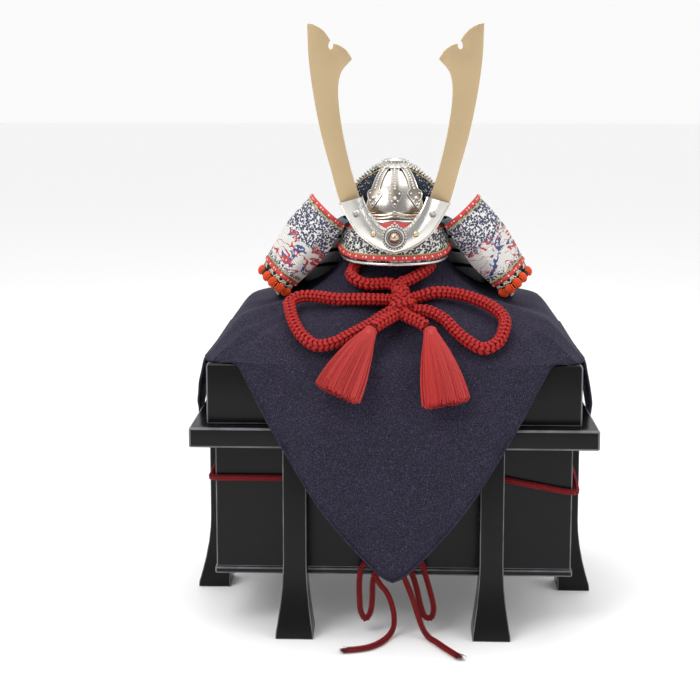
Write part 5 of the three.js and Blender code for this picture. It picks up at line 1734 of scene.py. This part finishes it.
@dataclass
class Visor:
    """Curved visor: silver lip, red band with flowers, printed leather, stitched cord, edging, rim."""

    half_angle: float = 64.0
    front: float = 60.0
    side: float = 49.0
    drop: float = 32.0
    corner_rise: float = 9.0
    thickness: float = 1.8
    inner: float = 39.7
    level: float = 314.0
    rim_radius: float = 1.4
    piping_radius: float = 1.3
    gap: float = 0.3
    columns: int = 121

    def surface(self, u: Array, v: Array, lift: Union[float, Array] = 0.0) -> Array:
        """Points of the visor's upper side; u runs round the front, v from the bowl outward."""
        side = np.asarray(u) * 2 - 1
        azimuth = side * math.radians(self.half_angle)
        reach = self.front + (self.side - self.front) * side**2
        lower = self.level - self.drop + self.corner_rise * side**4
        radius = self.inner + (reach - self.inner) * v
        slope = np.arctan2(self.level - lower, reach - self.inner)
        bulge = 2.2 * np.sin(np.pi * np.asarray(v)) + lift
        out = radius + bulge * np.sin(slope)
        z = self.level + (lower - self.level) * v + bulge * np.cos(slope)
        return np.stack(np.broadcast_arrays(out * np.sin(azimuth), -out * np.cos(azimuth), z), -1)

    def strip(self, name: str, start: Union[float, Array], end: Union[float, Array], lift: float, deep: float,
              material: Material, slot: Slot, *nodes: str, rows: int = 8) -> None:
        """Band of the visor between two lines, laid on it.

        Args:
            name: piece's name.
            start: v of its first line, one number or one for each column.
            end: v of its last line.
            lift: height of its upper side.
            deep: depth of its underside.
            material: its finish.
            slot: the record's material slot.
            nodes: CAD nodes that it stands for.
            rows: points across it.
        """
        u, share = np.linspace(0, 1, self.columns), np.linspace(0, 1, rows)[:, None]
        v = np.broadcast_to(start * (1 - share) + end * share, (rows, self.columns))
        edge = 1 - (1 - np.minimum(1, np.minimum(share, 1 - share) / 0.2)) ** 2
        places = np.stack(np.broadcast_arrays(u * 122, v * 34), -1)
        closed_plate(name, self.surface(u, v, lift * (0.4 + 0.6 * edge)), self.surface(u, v, -deep), places,
                     material, slot, *nodes)

    def line(self, v: float, lift: float) -> Array:
        """Points along the visor at one v."""
        return self.surface(np.linspace(0, 1, 160), v, lift)

    def build(self, shop: Workshop) -> None:
        """Builds the visor's bands, flowers, stitches, edging and rim."""
        leather = PrintedLeather("visor_leather", -90, -60, navy=(0.008, 0.010, 0.022), fine=0.56).material()
        scarlet = Enamel("scarlet_leather", (0.60, 0.045, 0.042), 0.5).material()
        off = np.linspace(0, 1, self.columns) - 0.5
        ogee = 0.052 - 0.034 * np.cos(off * 24) * np.exp(-((off / 0.16) ** 2))
        self.strip("visor_leather_plate", 0.0, 1.0, 0.0, self.thickness, leather, Slot.LEATHER, "visor", rows=26)
        self.strip("visor_red_band", ogee - 0.02, 0.33, 0.35, 0.05, scarlet, Slot.LEATHER)
        self.strip("visor_silver_lip", 0.0, ogee + 0.05, 0.8, 0.05, shop.silver, Slot.SILVER)
        self.flowers(shop)
        shop.thread_run("visor_stitched_cord", Slot.PIPING,
                        twisted(self.surface, (0.01, 0.99), 560, 0.868, 0.011, 0.4, 0.26, 420), 0.36, 6, shop.stitch)
        line = self.line(0.94, self.piping_radius + self.gap - 0.25)
        laid_tube("visor_dotted_band", line, (2.1, 1.0), 12, shop.band, Slot.PIPING, "visor_piping",
                  across=self.across(line))
        rim, beyond = self.line(1.0, -self.thickness / 2), self.rim_radius + self.gap
        stretch = 1 + beyond / np.hypot(rim[:, 0], rim[:, 1])
        rim = rim * np.column_stack([stretch, stretch, np.ones(len(rim))]) - beyond * 0.8 * UP
        laid_tube("visor_silver_rim", rim, (self.rim_radius, self.rim_radius), 16, shop.silver, Slot.SILVER,
                  "visor_rim")

    def flowers(self, shop: Workshop) -> None:
        """Three flowers of five petals on the red band."""
        white = Enamel("white_petal", (0.78, 0.75, 0.68), 0.5).material()
        up = unit(np.array((0.0, -0.75, 0.66)))
        petals = 0.62 * circle(5) @ np.array(((1, 0, 0), (0, -0.66, -0.75)))
        beads = []
        for u, v in ((0.5, 0.115), (0.481, 0.17), (0.519, 0.17)):
            middle = self.surface(u, v, 0.7)
            beads += [*(middle + petals), middle + 0.15 * up]
        shop.bead_row("visor_flowers", Slot.LEATHER, beads, up, 0.46, 0.5, 8, (1, 1, 1, 1, 1, 0.8) * 3, white)

    def across(self, line: Array) -> tuple[Array, Array]:
        """Directions over the visor and away from it, along one of its lines."""
        tangent = unit(np.gradient(line, axis=0))
        out = unit(np.stack([line[:, 0], line[:, 1], np.full(len(line), 30.0)], -1))
        down = unit(np.cross(tangent, out))
        return down, unit(np.cross(down, tangent))


@dataclass
class Crest:
    """Silver horn base with its boss and studs, and the two pale gold horns."""

    half_width: float = 44.5
    height: float = 38.0
    level: float = 288.5
    reach: float = 62.9
    thickness: float = 2.4
    bulge: float = 2.6
    bend: float = 54.0
    boss_radius: float = 9.8
    boss_depth: float = 6.0
    spread: float = 69.0
    rise: float = 156.0
    foot: float = 311.0
    horn_thickness: float = 1.4
    gap: float = 0.3
    stations: tuple = ((-1, 1, 1, 0.565, 1.16), (-0.86, 0.89, 0.8, 0.48, 0.93), (-0.6, 0.67, 0.42, 0.37, 0.74),
                       (-0.42, 0.5, 0.25, 0.27, 0.6), (-0.22, 0.28, 0.1, 0.15, 0.52), (0, 0, 0, 0, 0.5))
    outline: tuple = (
        ((0.5, 0), (0.565, 0.05), (0.625, 0.1), (0.735, 0.27), (0.845, 0.45), (0.93, 0.64), (0.985, 0.83), (1.0, 1)),
        ((1.0, 1), (0.93, 0.994), (0.82, 0.965), (0.735, 0.915)),
        ((0.735, 0.915), (0.755, 0.9), (0.76, 0.884), (0.745, 0.872), (0.722, 0.872), (0.706, 0.884), (0.708, 0.9)),
        ((0.708, 0.9), (0.645, 0.893), (0.56, 0.868), (0.49, 0.823)),
        ((0.49, 0.823), (0.61, 0.76), (0.645, 0.7), (0.645, 0.61), (0.59, 0.44), (0.49, 0.25), (0.4, 0.12), (0.36, 0)))

    def plane(self, x: Array, z: Array) -> Array:
        """Depth of the crest's curved plane."""
        return -self.reach + x * x / (2 * self.bend) + 0.1 * (z - self.level)

    def surface(self, u: Array, v: Array, depth: Union[float, Array] = 0.0) -> Array:
        """Points of the horn base; u runs from corner to corner, v from the inner to the outer edge."""
        side = np.asarray(u) * 2 - 1
        at = -np.abs(side)
        table = np.array(self.stations, float)
        outer_x, outer_z, inner_x, inner_z = (soft_table(at, table[:, 0], table[:, k]) for k in range(1, 5))
        x = np.sign(side) * self.half_width * (inner_x + (outer_x - inner_x) * v)
        z = self.level + self.height * (inner_z + (outer_z - inner_z) * v)
        bulge = self.bulge * np.sin(np.pi * np.asarray(v))
        return np.stack(np.broadcast_arrays(x, self.plane(x, z) - bulge + depth, z), -1)

    def build(self, shop: Workshop) -> None:
        """Builds the base, its trim, the boss, the studs and both horns."""
        u, v = np.linspace(0, 1, 141), np.linspace(0, 1, 30)[:, None]
        rounding = np.minimum(1, np.minimum(v, 1 - v) / 0.06)
        top = self.surface(u, v, 0.55 * (1 - np.sqrt(np.maximum(0, 1 - (1 - rounding) ** 2))))
        places = np.stack(np.broadcast_arrays(u * 110, v * 20), -1)
        polished = Silver("horn_base_silver", (0.76, 0.74, 0.70), (0.54, 0.52, 0.48), 0.2).material()
        closed_plate("horn_base_plate", top, self.surface(u, v, self.thickness), places, polished, Slot.SILVER,
                     "horn_base")
        laid_tube("horn_base_lip", self.surface(np.linspace(0.02, 0.98, 200), 0.975, -0.25), (0.75, 0.75), 10,
                  shop.silver, Slot.SILVER)
        ropes = [rope for v in (0.02, 0.075)
                 for rope in twisted(self.surface, (0.13, 0.87), 520, v, 0.012, -0.35, 0.25, 330)]
        shop.thread_run("horn_base_rope", Slot.SILVER, ropes, 0.42)
        self.boss(shop)
        self.studs(shop)
        gilt = HornGilt("horn_pale_gold").material()
        for side in Side:
            self.horn(side, gilt)

    def boss(self, shop: Workshop) -> None:
        """Round boss with a dome, a ring and two rows of beads."""
        level = self.level + self.height * 0.35
        place = np.array((0, float(self.plane(0.0, level)) - self.bulge - 2 * self.gap, level))
        size = (self.boss_radius, self.boss_depth)
        bare = [(0, 1.02), (0.18, 0.99), (0.34, 0.88), (0.44, 0.68), (0.47, 0.42), (0.52, 0.4), (0.56, 0.58),
                (0.6, 0.6), (0.64, 0.44), (0.7, 0.42), (0.74, 0.52), (0.8, 0.54), (0.84, 0.4), (0.94, 0.34),
                (1.0, 0.26), (1.0, 0), (0, 0)]
        lathe("boss_disc", np.array(bare) * size, place, shop.oxidised, 72, "horn_base_boss")
        turn = np.linspace(0, np.pi / 2, 12)
        cap = [*zip(np.sin(turn) * 0.38, 0.55 + np.cos(turn) * 0.6), (0.3, 0.5), (0, 0.5)]
        bronze = Silver("boss_dome_bronze", (0.62, 0.46, 0.32), (0.30, 0.17, 0.10), 0.2).material()
        lathe("boss_dome", np.array(cap) * size, place, bronze, 40)

        def hoop(count: int, radius: float, height: float) -> Array:
            """Even points round the boss, at shares of its radius and depth."""
            x, z = (circle(count) * radius * self.boss_radius).T
            return np.stack([x, np.full(count, -height * self.boss_depth), z], -1) + place

        shop.bead_row("boss_beads", Slot.SILVER, np.vstack([hoop(18, 0.52, 0.52), hoop(26, 0.91, 0.42)]),
                      (0.0, -1.0, 0.0), 0.5, 0.9, size=[1.15] * 18 + [1.75] * 26)
        ring = hoop(72, 0.71, 0.5)
        shop.thread_run("boss_ring", Slot.SILVER, [np.vstack([ring, ring[:1]])], 0.85, 10)

    def studs(self, shop: Workshop) -> None:
        """Two silver ring studs near the corners and two gilt knobs."""
        ring = [(0, 0.1), (0.4, 0.08), (0.5, 0.1), (0.56, 1.0), (0.7, 1.3), (0.88, 1.1), (1, 0), (0, 0)]
        knob = [(0, 1.25), (0.35, 1.2), (0.62, 0.98), (0.78, 0.6), (0.86, 0.35), (1, 0.3), (1, 0), (0, 0)]
        outer, inner = (0.55, 2.9, ring, shop.silver), (0.5, 2.7, knob, shop.gilt)
        studs = ((0.09, outer), (0.3, inner), (0.7, inner), (0.91, outer))
        for number, (u, (v, radius, bare, finish)) in enumerate(studs, 1):
            place = self.surface(u, v) - (0, self.gap + 0.3, 0)
            lathe(f"base_stud_{number}", np.array(bare) * (radius, 1.9), place, finish, 28, f"horn_base_stud_{number}")

    def horn(self, side: Side, material: Material) -> None:
        """Flat horn with softened edges."""
        points = [smooth_route([(a * self.spread, 0.0, b * self.rise) for a, b in run], 1.6)[:-1]
                  for run in self.outline]
        points.append(np.array([(self.outline[-1][-1][0] * self.spread, 0.0, 0.0)]))
        line = np.vstack(points)[:, (0, 2)] * (side.value, 1)
        back = (self.thickness + float(self.plane(0.625 * self.spread, self.level + 0.95 * self.height))
                + self.gap + self.horn_thickness)
        mesh = bpy.data.meshes.new("horn")
        with edited(mesh) as work:
            face = work.faces.new([work.verts.new((x * MM, back * MM, (z + self.foot) * MM)) for x, z in line])
            grown = bmesh.ops.extrude_face_region(work, geom=[face])
            moved = [v for v in grown["geom"] if isinstance(v, bmesh.types.BMVert)]
            bmesh.ops.translate(work, verts=moved, vec=(0, -self.horn_thickness * MM, 0))
            bmesh.ops.recalc_face_normals(work, faces=work.faces)
        word = side.name.lower()
        obj = bevelled(link(f"gilt_horn_{word}", mesh, material, False), 0.38, 3, 50)
        with edited(obj.data) as work:
            bmesh.ops.triangulate(work, faces=[f for f in work.faces if len(f.verts) > 4])
        shade(obj.data, 30)
        settle(obj, Slot.GOLD, f"horn_{word}")


@dataclass
class NeckGuard:
    """Five lacquered lames laced together, flaring from the bowl to the hem."""

    top_radius: float = 43.0
    hem_radius: float = 98.0
    top_level: float = 313.0
    hem_level: float = 249.0
    thickness: float = 1.4
    overlap: float = 2.0
    gap: float = 0.3
    front: float = 27.2
    laces: tuple[int, int] = (46, 15)
    knots: int = 46
    shares: tuple = ((0, 0.2, 0.4, 0.6, 0.8, 1), (0, 0.18, 0.37, 0.56, 0.78, 1), (0, 0.16, 0.35, 0.55, 0.77, 1))

    def surface(self, k: int, u: Array, v: Array, lift: Union[float, Array]) -> Array:
        """Points of a lame's upper side; u runs round the back, v down to its lower edge."""
        edge = lambda n: (self.top_radius + (self.hem_radius - self.top_radius) * self.shares[1][n],
                          self.top_level + (self.hem_level - self.top_level) * self.shares[2][n])
        (r0, z0), (r1, z1) = edge(k), edge(k + 1)
        v = np.asarray(v, float)
        share = v + (-self.overlap * (1 - v) / (r1 - r0) if k > 0 else 0)
        radius = r0 + (r1 - r0) * share
        half = np.pi - np.arccos(np.minimum(1, self.front / radius))
        azimuth = np.pi + (np.asarray(u) * 2 - 1) * half
        z = z0 + (z1 - z0) * share - (self.thickness + 4 * self.gap) * (1 - v) + lift
        return np.stack(np.broadcast_arrays(radius * np.sin(azimuth), -radius * np.cos(azimuth), z), -1)

    def build(self, shop: Workshop) -> None:
        """Builds the lames, their close lacing and the row of orange knots along the last one's edge."""
        black = Lacquer("lame_lacquer_black", (0.011, 0.011, 0.013), (0.12, 0.12, 0.13), 0.24).material()
        laced = SilkStrand("pale_blue_lacing", (0.20, 0.31, 0.36), (0.05, 0.10, 0.15), 2.0).material()
        orange = SilkStrand("orange_knot_silk", (0.85, 0.13, 0.03), (0.45, 0.03, 0.01), 5.0).material()
        u, v = np.linspace(0, 1, 161), np.linspace(0, 1, 12)[:, None]
        places = np.stack(np.broadcast_arrays(u * 200, v * 14), -1)
        lip = 0.5 * np.exp(-(((v - 0.97) / 0.05) ** 2))
        laces = []
        for k in range(5):
            closed_plate(f"laced_lame_{k + 1}", self.surface(k, u, v, self.thickness + lip), self.surface(k, u, v, 0.0),
                         places, black, Slot.LAME, f"neck_lame_{k + 1}")
            count, run = self.laces[0] + self.laces[1] * k, np.linspace(0.06 if k else 0.12, 0.9, 7)
            bow = self.thickness + 0.45 + 0.5 * np.sin(np.pi * (run - 0.06) / 0.84)
            laces += [self.surface(k, 0.012 + 0.976 * n / (count - 1) + 0.0016 * np.sin(n * 1.7), run, bow)
                      for n in range(count)]
        shop.thread_run("lame_lacing", Slot.LAME, laces, 0.72, 5, laced)
        knots = self.surface(4, np.linspace(0.015, 0.985, self.knots), 0.86, self.thickness + 1.4)
        shop.bead_row("hem_orange_knots", Slot.LAME, knots, unit(knots - 200.0 * UP), 2.5, 0.75, 12, material=orange)

@dataclass
class TurnBack:
    """Curled leather turn-back at one side of the visor."""

    side: Side
    front: float = 30.0
    bulge: float = 13.0
    depth: float = 18.0
    thickness: float = 1.8
    bowl_radius: float = 38.5
    bowl_level: float = 314.0
    corners: tuple = ((3, -8), (30, 15.5), (40, -54), (65.5, -33.5))
    section: tuple = ((0, 0.15, 0.35, 0.55, 0.75, 0.92, 1), (0.1, 0.52, 0.93, 1, 0.82, 0.5, 0.1),
                      (0, 0.04, 0.14, 0.32, 0.55, 0.8, 1))
    tones: tuple[Colour, ...] = ((0.80, 0.77, 0.68), (0.72, 0.48, 0.10), (0.05, 0.20, 0.23), (0.82, 0.79, 0.71))

    def sheet(self, u: Array, v: Array) -> Array:
        """Points of the leather of the right side; u runs outward from the inner edge, v down."""
        (ax, az), (bx, bz), (cx, cz), (dx, dz) = self.corners
        bow = 4 * np.sin(np.pi * v) * (u * 2 - 1)
        x = self.bowl_radius + (ax + (bx - ax) * u) * (1 - v) + (cx + (dx - cx) * u) * v + 0.6 * bow
        z = self.bowl_level + (az + (bz - az) * u) * (1 - v) + (cz + (dz - cz) * u) * v + 0.5 * bow
        y = (-self.front - self.bulge * soft_table(u, self.section[0], self.section[1])
             + self.depth * soft_table(u, self.section[0], self.section[2]) + 4 * v)
        return np.stack([x, y, z], -1)

    def surface(self, u: Array, v: Array, lift: Union[float, Array] = 0.0) -> Array:
        """Points of this side's leather, so many millimetres in front of it."""
        u, v, lift = np.broadcast_arrays(u, v, lift)
        near = 0.01
        du = self.sheet(np.minimum(u + near, 1), v) - self.sheet(np.maximum(u - near, 0), v)
        dv = self.sheet(u, np.minimum(v + near, 1)) - self.sheet(u, np.maximum(v - near, 0))
        normal = unit(np.cross(du, dv))
        normal = -normal * np.sign(normal[..., 1:2] + 1e-9)
        return (self.sheet(u, v) + normal * lift[..., None]) * (self.side.value, 1, 1)

    def edge(self, s: Array, v: float, inside: float) -> tuple[Array, Array, Array]:
        """Points on the upper or lower edge, the way beyond it and the way out of the leather."""
        near = self.surface(s, v)
        return near, unit((near - self.surface(s, inside)) * (1, 0, 1)), unit(self.surface(s, v, 1.0) - near)

    def build(self, shop: Workshop, leather: Material) -> None:
        """Builds the leather, its edgings, stitches and the knots under it."""
        word = self.side.name.lower()
        u, v = np.linspace(0, 1, 49), np.linspace(0, 1, 61)[:, None]
        places = np.stack(np.broadcast_arrays(u * 44 + (60 if self.side is Side.RIGHT else 0), v * 62), -1)
        closed_plate(f"turnback_leather_{word}", self.surface(u, v), self.surface(u, v, -self.thickness), places,
                     leather, Slot.LEATHER, f"turnback_{word}")
        for end, v, inside, seam in (("top", 0.0, 0.1, 0.035), ("low", 1.0, 0.9, 0.965)):
            near, way, out = self.edge(np.linspace(0, 1, 90), v, inside)
            laid_tube(f"turnback_band_{end}_{word}", near + way * 1.2, (1.9, 1.15), 14, shop.band, Slot.PIPING,
                      f"turnback_piping_{end}_{word}", across=(way, out))
            threads = twisted(self.surface, (0.01, 0.99), 300, seam, 0.006, 0.35, 0.24, 190)
            shop.thread_run(f"turnback_stitching_{end}_{word}", Slot.PIPING, threads, 0.36, 6, shop.stitch)
        self.hem(word, shop)

    def hem(self, word: str, shop: Workshop) -> None:
        """Mixed stitches, then orange knots on a black strip under the lower edging."""
        near, way, out = self.edge(np.linspace(0.02, 0.98, 60), 1.0, 0.9)
        black = Lacquer(f"hem_lacquer_{word}", (0.011, 0.011, 0.013), (0.1, 0.1, 0.11), 0.28).material()
        orange = SilkStrand(f"orange_silk_{word}", (1.0, 0.125, 0.022), (0.50, 0.03, 0.006), 6.0, underside_shade=0.3).material()
        top, under = (np.stack([near + way * w + out * lift for w in (2.6, 6, 10, 13.4)]) for lift in (0.2, -1.1))
        closed_plate(f"hem_strip_{word}", top, under, np.zeros((*top.shape[:2], 2)), black, Slot.LAME)
        stitches: list[list[Array]] = [[] for _ in self.tones]
        skeins = []
        for k in np.linspace(5, 54, 5).astype(int):
            along = unit(near[k + 1] - near[k - 1])
            middle = near[k] + way[k] * 4.6 + out[k] * 0.6
            for n in range(4):
                for m in range(4):
                    slant = unit(along * (1 if m % 2 else -1) + way[k] * 1.1) * 1.9
                    crossing = middle + along * ((m - 1.5) * 1.1 + (n - 1.5) * 0.28 * (1 if m < 2 else -1))
                    stitches[(n + m) % 4].append(np.array([crossing - slant, crossing + out[k] * (0.5 + 0.1 * n),
                                                           crossing + slant]))
            middle = near[k] + way[k] * 9.9 + out[k] * 1.6
            turn = np.linspace(0, np.pi, 8)[:, None]
            for n in np.linspace(-1, 1, 5):
                bow = math.sqrt(1 - 0.6 * n * n)
                skeins.append(middle + along * n * 3.0 + way[k] * np.cos(turn) * 3.7 * bow
                              + out[k] * np.sin(turn) * 2.5 * bow)
        for n, tone in enumerate(self.tones):
            silk = SilkStrand(f"hem_silk_{n + 1}_{word}", tone, tuple(0.5 * c for c in tone), 3.0).material()
            shop.thread_run(f"hem_stitches_{n + 1}_{word}", Slot.LAME, stitches[n], 0.33, 5, silk)
        shop.thread_run(f"orange_knots_{word}", Slot.LAME, skeins, 0.64, 8, orange)


# ---------------------------------------------------------------- studio


@dataclass
class Studio:
    """Pale floor, soft lights and the camera at the photograph's angle."""

    eye: tuple[float, float, float] = (0.0040, -1.170, 0.4185)
    tilt: float = 82.27
    yaw: float = 2.0
    lens: float = 73.54
    dark_side: tuple[float, float, float] = (0.0, -0.98, 0.2)
    facing: tuple[float, float] = (0.25, 0.95)
    brightness: tuple[float, float] = (0.96, 0.4)
    # name, place, height of its target, size and power
    lamps: tuple = (("key", (-0.75, -0.95, 1.35), 0.25, 0.8, 11), ("fill", (1.1, -0.9, 0.8), 0.22, 0.9, 4.5),
                    ("top", (0.0, 0.1, 1.5), 0.2, 1.0, 8))

    def camera(self) -> None:
        """Sets the scene's camera."""
        data = bpy.data.cameras.new("camera")
        data.lens, data.sensor_width, data.sensor_fit = self.lens, 36.0, "HORIZONTAL"
        data.shift_x, data.shift_y = 0.0, -0.1
        data.clip_start, data.clip_end = 0.05, 60
        obj = bpy.data.objects.new("camera", data)
        obj.location = self.eye
        obj.rotation_euler = (math.radians(self.tilt), 0, math.radians(self.yaw))
        bpy.context.scene.collection.objects.link(obj)
        bpy.context.scene.camera = obj

    def light(self, name: str, place: Sequence[float], target: Sequence[float], size: float, power: float) -> None:
        """Adds a square area light."""
        data = bpy.data.lights.new(name, "AREA")
        data.shape, data.size, data.energy = "SQUARE", size, power
        obj = bpy.data.objects.new(name, data)
        obj.location = place
        obj.rotation_euler = (Vector(target) - Vector(place)).to_track_quat("-Z", "Y").to_euler()
        bpy.context.scene.collection.objects.link(obj)

    def build(self) -> None:
        """Adds the floor, the backdrop light and the lamps."""
        mesh = bpy.data.meshes.new("floor")
        with edited(mesh) as work:
            bmesh.ops.create_grid(work, x_segments=8, y_segments=8, size=15.0)
        shader = Shader("pale_floor", Emission_Color=(1.0, 1.0, 1.0), Emission_Strength=0.07)
        cloud = shader.noise(shader.place(), 0.01, 2)
        shader.colour(shader.mix(cloud, (0.985, 0.985, 0.985), (0.975, 0.975, 0.975))).rough(0.6)
        link("floor", mesh, shader.material)
        world = bpy.data.worlds.new("studio") if bpy.context.scene.world is None else bpy.context.scene.world
        bpy.context.scene.world = world
        world.use_nodes = True
        sky = world.node_tree.nodes.get("Background") or world.node_tree.nodes.new("ShaderNodeBackground")
        sky.inputs[0].default_value = (1.0, 1.0, 1.0, 1.0)
        nodes, links = world.node_tree.nodes, world.node_tree.links
        where, toward, room = (nodes.new(f"ShaderNode{kind}") for kind in ("TexCoord", "VectorMath", "MapRange"))
        toward.operation, room.interpolation_type = "DOT_PRODUCT", "SMOOTHSTEP"
        toward.inputs[1].default_value = self.dark_side
        for slot, value in zip(room.inputs[1:5], (*self.facing, *self.brightness)):
            slot.default_value = value
        links.new(where.outputs["Generated"], toward.inputs[0])
        links.new(toward.outputs["Value"], room.inputs[0])
        links.new(room.outputs[0], sky.inputs[1])
        bpy.context.scene.view_settings.view_transform = "Standard"
        for name, place, aim, size, power in self.lamps:
            self.light(name, place, (0, 0, aim), size, power)


def main() -> None:
    """Builds the whole object."""
    logging.basicConfig(level=logging.INFO, format="%(message)s")
    studio = Studio()
    studio.camera()
    shop = Workshop()
    ChinCord().build(shop)
    ChestCord().build(shop)
    DrapedCloth().build()
    Chest().build()
    Stand().build()
    Bowl().build(shop)
    Visor().build(shop)
    Crest().build(shop)
    NeckGuard().build(shop)
    leather = PrintedLeather("turnback_leather", 26, 59).material()
    for side in Side:
        TurnBack(side).build(shop, leather)
    studio.build()


if __name__ == "__main__":
    main()
